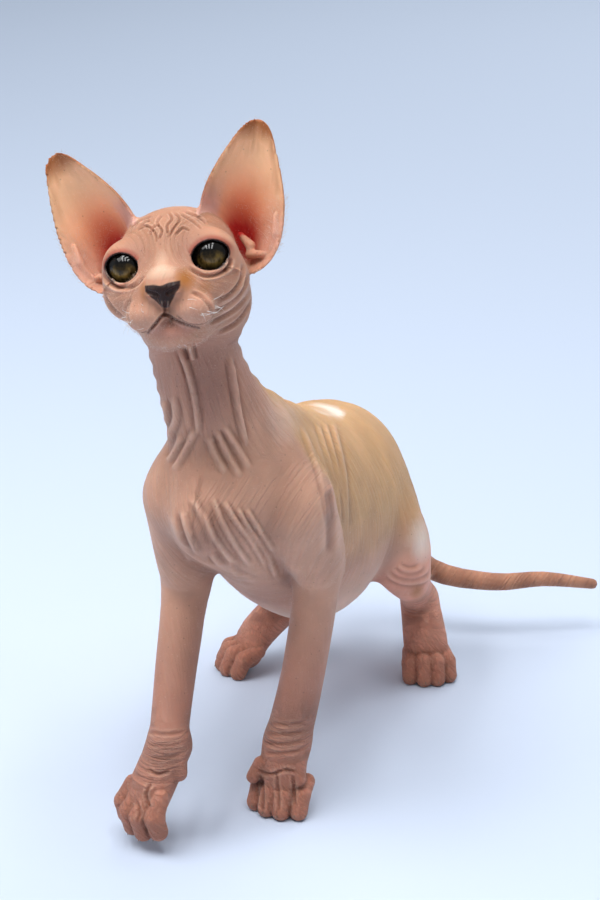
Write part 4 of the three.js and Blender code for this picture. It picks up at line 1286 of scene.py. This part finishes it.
# A material, and the one way its nodes are made
class Finish:
    def __init__(self, name, **fixed):
        self.material = bpy.data.materials.new(name)
        self.material.use_nodes = True
        self.tree = self.material.node_tree
        self.shader = self.tree.nodes["Principled BSDF"]
        for socket, value in fixed.items():
            self.shader.inputs[socket.replace("_", " ")].default_value = value

    def put(self, target, name, value):
        if isinstance(value, Value):
            self.tree.links.new(value.socket, target.inputs[name])
        else:
            target.inputs[name].default_value = value

    def add(self, kind, settings, sockets, out=0):
        made = self.tree.nodes.new(kind)
        for name, value in settings.items():
            setattr(made, name, value)
        for name, value in sockets.items():
            self.put(made, name, value)
        return Value(self, made.outputs[out])

    def attribute(self, name, out):
        return self.add("ShaderNodeAttribute", {"attribute_name": name}, {}, out)

    def place(self):
        return self.add("ShaderNodeTexCoord", {}, {}, "Object")

    def noise(self, place, scale, detail=3.0):
        return self.add("ShaderNodeTexNoise", {}, {"Vector": place, "Scale": scale, "Detail": detail})

    def cells(self, place, scale):
        return self.add("ShaderNodeTexVoronoi", {}, {"Vector": place, "Scale": scale}, "Distance")

    def times(self, colour, amount):
        sockets = {0: colour, "Scale": amount}
        return self.add("ShaderNodeVectorMath", {"operation": "SCALE"}, sockets, "Vector")

    def stretched(self, place, factors):
        sockets = {0: place, 1: factors}
        return self.add("ShaderNodeVectorMath", {"operation": "MULTIPLY"}, sockets, "Vector")

    # One along the wandering middle line of a stretched noise, falling to nought beside it
    def grooves(self, place, factors):
        away = abs(self.noise(self.stretched(place, factors), 1.0, 2.0) - 0.5)
        return 1 - (away * GROOVE_SHARPNESS).least(1.0)

    def bump(self, height, strength, distance):
        sockets = {"Height": height, "Strength": strength, "Distance": distance}
        self.put(self.shader, "Normal", self.add("ShaderNodeBump", {}, sockets))


# The skin's finish: long wrinkles, crepe between them, mottling, freckles and pores, with painted shade in
# the wrinkles and the crepe
WRINKLE_SPREAD = (0.34, 0.035, 1.0)
CREPE_SPREAD = (1.1, 0.3, 1.0)
GROOVE_SHARPNESS = 7.0
MOTTLE_SCALE, FRECKLE_SCALE, PORE_SCALE = 60.0, 240.0, 1100.0
WRINKLE_SHADE, CREPE_SHADE = 0.16, 0.06
PORE_HEIGHT, CREPE_HEIGHT = 0.16, 0.35
BUMP_STRENGTH, BUMP_DISTANCE = 0.75, 0.0009
SKIN_GLOW = {"Subsurface_Weight": 0.25, "Subsurface_Scale": 0.0035, "Subsurface_Radius": (1.0, 0.32, 0.18)}
SKIN_SHINE = {"Sheen_Weight": 0.08, "Sheen_Roughness": 0.4, "Specular_IOR_Level": 0.35}


def skin_finish():
    f = Finish("Hairless skin", **SKIN_GLOW, **SKIN_SHINE, Emission_Strength=1.0)
    place = f.place()
    across = f.attribute("wrinkle", "Vector")
    depth = f.attribute("depth", "Fac")
    wrinkles = f.grooves(across, WRINKLE_SPREAD) * depth
    crepe = f.grooves(across, CREPE_SPREAD) * depth
    mottle = f.noise(place, MOTTLE_SCALE, 6.0) * 0.5 + 0.75
    freckle = (f.cells(place, FRECKLE_SCALE) * 5.0 + 0.45).least(1.0)
    # Mottling and freckles, with painted shade along the wrinkles and the crepe
    shade = mottle * freckle * (1 - wrinkles * WRINKLE_SHADE) * (1 - crepe * CREPE_SHADE)
    f.put(f.shader, "Base Color", f.times(f.attribute("tone", "Color"), shade))
    f.put(f.shader, "Roughness", f.attribute("wet", "Fac"))
    # Painted light given off by the front of the ears
    f.put(f.shader, "Emission Color", f.attribute("glow", "Color"))
    pores = f.noise(place, PORE_SCALE, 3.0) * PORE_HEIGHT
    f.bump(pores - wrinkles - crepe * CREPE_HEIGHT, BUMP_STRENGTH, BUMP_DISTANCE)
    return f.material


# The corners of the box that the skin is looked for in
SKIN_LOW = vec(-80, -126, -COARSE)
SKIN_HIGH = vec(122, 200, 325)
FOLDS_FROM_FLOOR = (0.5, 4)


def on_the_face(verts):
    q = to_head(verts)
    return (np.linalg.norm(q, axis=1) < FACE_REACH) & (q[:, 1] > FACE_FROM)


def build_skin():
    verts, quads = fine_surface(skin, SKIN_LOW, SKIN_HIGH)
    verts, faces = refined(verts, quads, on_the_face(verts))
    verts = settled(skin, verts)
    made = piece("skin", to_scene(verts), faces, skin_finish())
    normals = np.zeros(len(verts) * 3)
    made.data.vertex_normals.foreach_get("vector", normals)
    normals = normals.reshape(-1, 3)
    # The depth in the creases sets the painted shade there
    deep = creased(verts, normals)
    height, shade_and_highlight = fold_heights(verts, normals)
    height += loose_waves(verts, normals)
    fade = ramp(verts[:, 2], *FOLDS_FROM_FLOOR)
    verts = verts + normals * (height * fade)[:, None]
    verts[:, 2] = np.maximum(verts[:, 2], OFF_FLOOR)
    made.data.vertices.foreach_set("co", to_scene(verts).ravel())
    made.data.update()
    colour, wet, painted_ear_light = skin_colours(verts, normals, shade_and_highlight, deep)
    across, depth = wrinkle_field(verts)
    marks = {"tone": colour, "wet": wet, "glow": painted_ear_light, "wrinkle": across, "depth": depth}
    for name, values in marks.items():
        mark(made, name, values)
    thin = made.modifiers.new("thin", "DECIMATE")
    body = np.flatnonzero(~on_the_face(verts)).tolist()
    made.vertex_groups.new(name="thinned").add(body, 1.0, "REPLACE")
    thin.vertex_group = "thinned"
    thin.ratio = min(1.0, SKIN_TRIANGLES / sum(len(f) - 2 for f in faces))
    thin.use_collapse_triangulate = True
    bake(made)
    return made, verts, normals, colour


# Eyes: the patches of the iris are laid out in millimetres across and up from its middle
EYE_RINGS = 40
EYE_SIDES = 56
OLIVE = screen(146, 116, 54)
DARK_IRIS = screen(16, 12, 8)
PUPIL = screen(5, 4, 4)
OLIVE_WIDE, OLIVE_TALL, OLIVE_BELOW = 4.6, 3.2, 2.0
PUPIL_WIDE, PUPIL_TALL, PUPIL_ABOVE = 3.0, 3.6, 1.2
FIBRE_SPREAD = (700.0, 500.0, 420.0)


def eye_axes(sign):
    def turned(v):
        return from_head(vec(v[0] * sign, v[1], v[2])) - HEAD_PLACE

    gaze, side = turned(GAZE), turned(GAZE_SIDE)
    return from_head(eye_place(sign) * vec(sign, 1, 1)), side, turned(GAZE_UP), gaze


def eye_finish():
    f = Finish("Wet eye", Roughness=0.04, IOR=1.36)
    fibres = f.noise(f.stretched(f.place(), FIBRE_SPREAD), 1.0, 5.0)
    f.put(f.shader, "Base Color", f.times(f.attribute("iris", "Color"), fibres * 3.2 - 0.75))
    return f.material


def build_eye(name, sign, finish):
    at, side, up, gaze = eye_axes(sign)
    meet = (CORNEA_RISE**2 + EYE_RADIUS**2 - CORNEA_RADIUS**2) / (2 * CORNEA_RISE)
    verts, flat = [], []
    reach = CORNEA_RISE + CORNEA_RADIUS
    for n in range(EYE_RINGS + 1):
        h = EYE_BACK + (reach - EYE_BACK) * (1 - (1 - n / EYE_RINGS) ** 2)
        ball, bulge = EYE_RADIUS**2 - h * h, CORNEA_RADIUS**2 - (h - CORNEA_RISE) ** 2
        r = math.sqrt(max(ball if h < meet else bulge, 1e-4))
        for s in range(EYE_SIDES):
            turn = 2 * math.pi * s / EYE_SIDES
            a, b = r * math.cos(turn), r * math.sin(turn)
            verts.append(at + side * a + up * b + gaze * h)
            flat.append((a * sign, b))
    faces = []
    for n in range(EYE_RINGS):
        for s in range(EYE_SIDES):
            t = (s + 1) % EYE_SIDES
            a, b = n * EYE_SIDES, (n + 1) * EYE_SIDES
            ring = [a + s, a + t, b + t, b + s]
            faces.append(ring[::-1] if sign > 0 else ring)
    base = list(range(EYE_SIDES))
    top = [n + EYE_RINGS * EYE_SIDES for n in base]
    faces.append(base if sign > 0 else base[::-1])
    faces.append(top[::-1] if sign > 0 else top)
    made = piece(name, to_scene(np.array(verts)), faces, finish)
    a, b = np.array(flat).T
    colour = np.tile(DARK_IRIS, (len(a), 1))
    olive = np.clip(1.4 - np.hypot(a / OLIVE_WIDE, (b + OLIVE_BELOW) / OLIVE_TALL), 0, 1)
    colour = blend(colour, OLIVE, olive * 0.75)
    pupil = 1 - ramp(np.hypot(a / PUPIL_WIDE, (b - PUPIL_ABOVE) / PUPIL_TALL), 0.6, 1.3)
    colour = blend(colour, PUPIL, pupil * 0.85)
    colour = blend(colour, BLACK_RIM, ramp(np.hypot(a, b), 5.4, 6.6))
    mark(made, "iris", colour)
    return made


# Hairs: thin tapering tubes along a bent path, gathered into one mesh
HAIR_TAPER = 0.85


def tubes(paths, radius, sides):
    verts, faces = [], []
    for path in paths:
        first = len(verts)
        steps = len(path) - 1
        for n, at in enumerate(path):
            along = unit(path[min(n + 1, steps)] - path[max(n - 1, 0)])
            wide = unit(np.cross(along, vec(0.3, 0.2, 1)))
            tall = np.cross(along, wide)
            r = radius * (1 - HAIR_TAPER * n / steps)
            for s in range(sides):
                turn = 2 * math.pi * s / sides
                verts.append(at + wide * r * math.cos(turn) + tall * r * math.sin(turn))
        for n in range(steps):
            for s in range(sides):
                a, b = first + n * sides + s, first + n * sides + (s + 1) % sides
                faces.append([a, b, b + sides, a + sides])
        faces.append([first + s for s in range(sides)][::-1])
        faces.append([first + steps * sides + s for s in range(sides)])
    return np.array(verts), faces


# Whiskers: short and curled, each set with its middle, spread, count and length, from the pads and the chin
WHISKER_SETS = (
    (vec(12, 31, -16), vec(4, 0, 3.4), 7, 5.5),
    (vec(16, 26, -17), vec(2, 2, 3), 4, 6.5),
    (vec(4, 25, -27), vec(4, 0, 2), 3, 2.6),
)
WHISKER_RADIUS = 0.13
WHISKER_STEPS = 8
WHISKER_SIDES = 4
WHISKER_WAY = vec(0.9, 0.1, -0.25)


def whisker(rng, centre, spread, length, sign):
    q = (centre + spread * rng.uniform(-1, 1, 3))[None]
    for _ in range(6):
        d, slope = slope_of(face_shape, q)
        q = q - slope * d[:, None]
    out = unit(slope[0])
    way = unit(out * 0.8 + WHISKER_WAY + rng.normal(0, 0.3, 3))
    curl = unit(np.cross(way, rng.normal(0, 1, 3))) * rng.uniform(0.8, 2.0)
    at, path = q[0] - out * 0.4, []
    step = length * rng.uniform(0.6, 1.1) / WHISKER_STEPS
    for n in range(WHISKER_STEPS + 1):
        path.append(from_head(at * vec(sign, 1, 1)))
        at = at + unit(way + curl * n * 0.14) * step
    return path


def build_whiskers():
    rng = np.random.default_rng(11)
    paths = []
    for centre, spread, count, length in WHISKER_SETS:
        for sign in (1, -1):
            paths += [whisker(rng, centre, spread, length, sign) for _ in range(count)]
    verts, faces = tubes(paths, WHISKER_RADIUS, WHISKER_SIDES)
    white = Finish("White whisker", Base_Color=(0.85, 0.82, 0.78, 1), Roughness=0.4)
    return piece("whiskers", to_scene(verts), faces, white.material)


# Claws: small curved horns at the tips of the toes
CLAW_STEPS = 5
CLAW_LENGTH = 2.0
CLAW_DROP = 0.55
CLAW_RADIUS = 0.75
CLAW_SIDES = 6
CLAW_OFF_FLOOR = 0.5


def build_claws():
    paths = []
    for sizes in PAWS.values():
        ahead, _, over = paw_axes(sizes)
        for _, _, tip in paw_toes(sizes):
            at = tip + ahead * (TOE_RADIUS - 1.6) + over * 0.4
            path = []
            for t in np.arange(CLAW_STEPS + 1) / CLAW_STEPS:
                p = at + ahead * CLAW_LENGTH * t - over * CLAW_LENGTH * CLAW_DROP * t * t
                path.append(vec(p[0], p[1], max(p[2], CLAW_OFF_FLOOR)))
            paths.append(path)
    verts, faces = tubes(paths, CLAW_RADIUS, CLAW_SIDES)
    horn = Finish("Claw horn", Base_Color=(0.26, 0.16, 0.11, 1), Roughness=0.35)
    return piece("claws", to_scene(verts), faces, horn.material)


# Down: very short fine hairs set on the skin by a node tree
DOWN_COUNT = 15000
DOWN_RADIUS = 0.00004
SIDES_OF_HAIR = 3
DOWN_GIVEN = {
    "Hair radius": ("NodeSocketFloat", DOWN_RADIUS),
    "Seed": ("NodeSocketInt", 5),
    "Finish": ("NodeSocketMaterial", None),
}
COMB = vec(0, 0.7, -0.5)
# One hair's corner of the UV map, and how its map is split between the seen and the far side
PATCH = 0.003
HALF_MAP, FAR_HALF = 0.48, 0.5


def down_tree():
    tree = bpy.data.node_groups.new("Down", "GeometryNodeTree")
    tree.interface.new_socket("Geometry", in_out="INPUT", socket_type="NodeSocketGeometry")
    for name, (kind, _) in DOWN_GIVEN.items():
        tree.interface.new_socket(name, in_out="INPUT", socket_type=kind)
    tree.interface.new_socket("Geometry", in_out="OUTPUT", socket_type="NodeSocketGeometry")

    def add(kind, settings, sockets):
        made = tree.nodes.new(kind)
        for name, value in settings.items():
            setattr(made, name, value)
        for name, value in sockets.items():
            if isinstance(value, bpy.types.NodeSocket):
                tree.links.new(value, made.inputs[name])
            else:
                made.inputs[name].default_value = value
        return made

    given = add("NodeGroupInput", {}, {}).outputs
    cone_sizes = {"Vertices": SIDES_OF_HAIR, "Radius Top": 0.0, "Radius Bottom": 1.0, "Depth": 1.0}
    cone = add("GeometryNodeMeshCone", {"fill_type": "NGON"}, cone_sizes).outputs["Mesh"]
    named = add("GeometryNodeInputNamedAttribute", {"data_type": "FLOAT_VECTOR"}, {"Name": "aim"})
    aim = named.outputs["Attribute"]
    length = add("ShaderNodeVectorMath", {"operation": "LENGTH"}, {0: aim}).outputs["Value"]
    span = {2: 0.6, 3: 1.2, "Seed": given["Seed"]}
    vary = add("FunctionNodeRandomValue", {"data_type": "FLOAT"}, span).outputs[1]
    tall = add("ShaderNodeMath", {"operation": "MULTIPLY"}, {0: length, 1: vary}).outputs[0]
    wide = given["Hair radius"]
    size = add("ShaderNodeCombineXYZ", {}, {"X": wide, "Y": wide, "Z": tall}).outputs[0]
    turn = add("FunctionNodeAlignRotationToVector", {"axis": "Z"}, {"Vector": aim}).outputs[0]
    sockets = {"Points": given["Geometry"], "Instance": cone, "Rotation": turn, "Scale": size}
    hairs = add("GeometryNodeInstanceOnPoints", {}, sockets).outputs[0]
    whole = add("GeometryNodeRealizeInstances", {}, {"Geometry": hairs}).outputs[0]
    done = add("GeometryNodeSetMaterial", {}, {"Geometry": whole, "Material": given["Finish"]}).outputs[0]
    add("NodeGroupOutput", {}, {"Geometry": done})
    return tree


# How thick the down stands and how long it is, beyond plain skin, and how it lies
PLAIN_WEIGHT, EAR_WEIGHT, LOW_EAR_WEIGHT, MUZZLE_WEIGHT, TAIL_WEIGHT = 0.25, 1.4, 2.5, 1.2, 0.5
PLAIN_LENGTH, LOW_EAR_LENGTH, MUZZLE_LENGTH, EAR_LENGTH = 1.0, 0.9, 0.1, 0.3
LIFTED, COMBED, STRAY = 0.7, 0.6, 0.28
ROOT_OUT = 0.45
BARE_NOSE = ((0, 32, -8), (11, 12, 9))
BARE_EYE = 4


def down_roots(verts, normals):
    rng = np.random.default_rng(7)
    y, z = verts[:, 1], verts[:, 2]
    q = to_head(verts)
    from_middle = np.linalg.norm(q, axis=1)
    ear_rim = (np.abs(q[:, 0]) + 0.7 * q[:, 2] > 40) & (from_middle < HEAD_SPAN)
    low_ear = ear_rim & (q[:, 2] < 22)
    muzzle = (q[:, 1] > 18) & (q[:, 2] < 2) & (q[:, 2] > -34) & (from_middle < 50)
    muzzle &= nose_leather(q, np.abs(q)) < 0.1
    leather = spot(q, *BARE_NOSE) > 0
    weight = PLAIN_WEIGHT + EAR_WEIGHT * ear_rim + LOW_EAR_WEIGHT * low_ear
    weight = weight + MUZZLE_WEIGHT * muzzle + TAIL_WEIGHT * (y > TAIL_Y[0])
    from_eye = np.abs(q) * vec(1, 0, 0) + q * vec(0, 1, 1) - vec(*EYE_AT)
    near_eye = np.linalg.norm(from_eye, axis=1) < EYE_RADIUS + BARE_EYE
    weight = weight * (z > 3) * ~near_eye * ~leather
    chosen = rng.choice(len(verts), DOWN_COUNT, replace=False, p=weight / weight.sum())
    comb = np.where(ear_rim[:, None], HEAD_TURNED[2], COMB)[chosen]
    length = PLAIN_LENGTH + LOW_EAR_LENGTH * low_ear + MUZZLE_LENGTH * muzzle + EAR_LENGTH * ear_rim
    length = length[chosen]
    way = normals[chosen] * LIFTED + comb * COMBED + rng.normal(0, STRAY, (DOWN_COUNT, 3))
    way = way / np.linalg.norm(way, axis=1)[:, None]
    return chosen, way, length


def build_down(verts, normals, colour):
    chosen, way, length = down_roots(verts, normals)
    f = Finish("Fine down", Roughness=0.6)
    f.put(f.shader, "Base Color", f.attribute("tone", "Color"))
    roots = verts[chosen] + way * (length * ROOT_OUT)[:, None]
    made = piece("down", to_scene(roots), [], f.material)
    mark(made, "aim", way * (length * MM)[:, None])
    grow = made.modifiers.new("grow", "NODES")
    grow.node_group = down_tree()
    for item in grow.node_group.interface.items_tree:
        if item.in_out == "INPUT" and item.name in DOWN_GIVEN:
            grow[item.identifier] = DOWN_GIVEN[item.name][1] or f.material
    bake(made)
    mesh = made.data
    points = len(mesh.vertices) // DOWN_COUNT
    corners = len(mesh.loops) // DOWN_COUNT
    light = (colour[chosen] + DOWN_PALE) / 2
    mark(made, "tone", np.repeat(light, points, 0))
    low, high = verts.min(0), verts.max(0)
    seen = facing(verts[chosen], normals[chosen]) > 0
    flat = (verts[chosen] - low) / (high - low)
    corner = np.repeat(np.stack([flat[:, 0] * HALF_MAP + FAR_HALF * seen, flat[:, 2]], 1), corners, 0)
    patch = np.tile(vec(0, PATCH, PATCH, 0, 0, PATCH), len(corner) // 3 + 1)
    corner += patch[: corner.size].reshape(-1, 2)
    mesh.uv_layers.new(name="OFBake").data.foreach_set("uv", np.clip(corner, 0, 1).ravel())
    return made


# Light, floor and camera: sizes in metres, powers in watts
FLOOR_SIZE = 14.0
FLOOR_BLUE = (0.57, 0.65, 0.79, 1)
AIR_BLUE = (0.80, 0.87, 0.95, 1)
AIR_STRENGTH = 0.42
PART_MIDDLE = (0, 0, 0.17)
STRIP_AT = (-0.02, -0.48, 1.45)
STRIP_STEP = (0.36, 0.13)
STRIP_POWER, STRIP_WIDTH, STRIP_LENGTH = 5.3, 0.17, 0.75


def build_floor():
    f = Finish("Pale floor", Roughness=0.7, Base_Color=FLOOR_BLUE, Specular_IOR_Level=0.2)
    edge = FLOOR_SIZE / 2
    corners = [(-edge, -edge, 0), (edge, -edge, 0), (edge, edge, 0), (-edge, edge, 0)]
    piece("floor", corners, [(0, 1, 2, 3)], f.material)
    world = bpy.data.worlds.new("Pale air")
    bpy.context.scene.world = world
    world.use_nodes = True
    air = world.node_tree.nodes["Background"]
    air.inputs["Color"].default_value = AIR_BLUE
    air.inputs["Strength"].default_value = AIR_STRENGTH


def lamp(name, at, aim, power, size, height=None):
    light = bpy.data.lights.new(name, "AREA")
    light.energy = power
    light.size = size
    if height:
        light.shape = "RECTANGLE"
        light.size_y = height
    made = bpy.data.objects.new(name, light)
    made.location = at
    made.rotation_euler = (Vector(aim) - Vector(at)).to_track_quat("-Z", "Y").to_euler()
    bpy.context.scene.collection.objects.link(made)
    return made


# A soft key, three long strips overhead that show in the eyes, and a lamp for the floor behind
def build_lights():
    lamp("soft key", (-1.0, -0.5, 1.8), PART_MIDDLE, 18, 1.1)
    x, y, z = STRIP_AT
    for n in (-1, 0, 1):
        at = (x + n * STRIP_STEP[0], y + n * STRIP_STEP[1], z)
        strip = lamp("strip " + str(n + 2), at, (0, 0, 0), STRIP_POWER, STRIP_WIDTH, STRIP_LENGTH)
        strip.rotation_euler = (0, 0, radians(CAMERA_TURN))
    lamp("behind", (0.5, 2.6, 2.6), (0.2, 1.6, 0), 62, 3.0)


SENSOR_HEIGHT = 36


def build_camera():
    data = bpy.data.cameras.new("camera")
    data.sensor_fit = "VERTICAL"
    data.sensor_height = SENSOR_HEIGHT
    data.lens = FOCAL_PIXELS * data.sensor_height / PICTURE[1]
    made = bpy.data.objects.new("camera", data)
    made.location = to_scene(EYE_POINT)
    way = Vector(to_scene(CAMERA_AIM) - to_scene(EYE_POINT))
    made.rotation_euler = way.to_track_quat("-Z", "Y").to_euler()
    bpy.context.scene.collection.objects.link(made)
    bpy.context.scene.camera = made


FLESH = [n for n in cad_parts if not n.startswith("eye")]
skin_piece, skin_points, skin_normals, skin_tones = build_skin()
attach(skin_piece, "root")
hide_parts(*FLESH)
wet_eye = eye_finish()
for side_name, sign in (("left", 1), ("right", -1)):
    eyeball = build_eye("eyeball_" + side_name, sign, wet_eye)
    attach(eyeball, "root")
    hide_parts("eye_" + side_name)
for hair in (build_whiskers(), build_claws(), build_down(skin_points, skin_normals, skin_tones)):
    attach(hair, "root")
build_floor()
build_lights()
build_camera()
bpy.context.scene.view_settings.view_transform = "Standard"
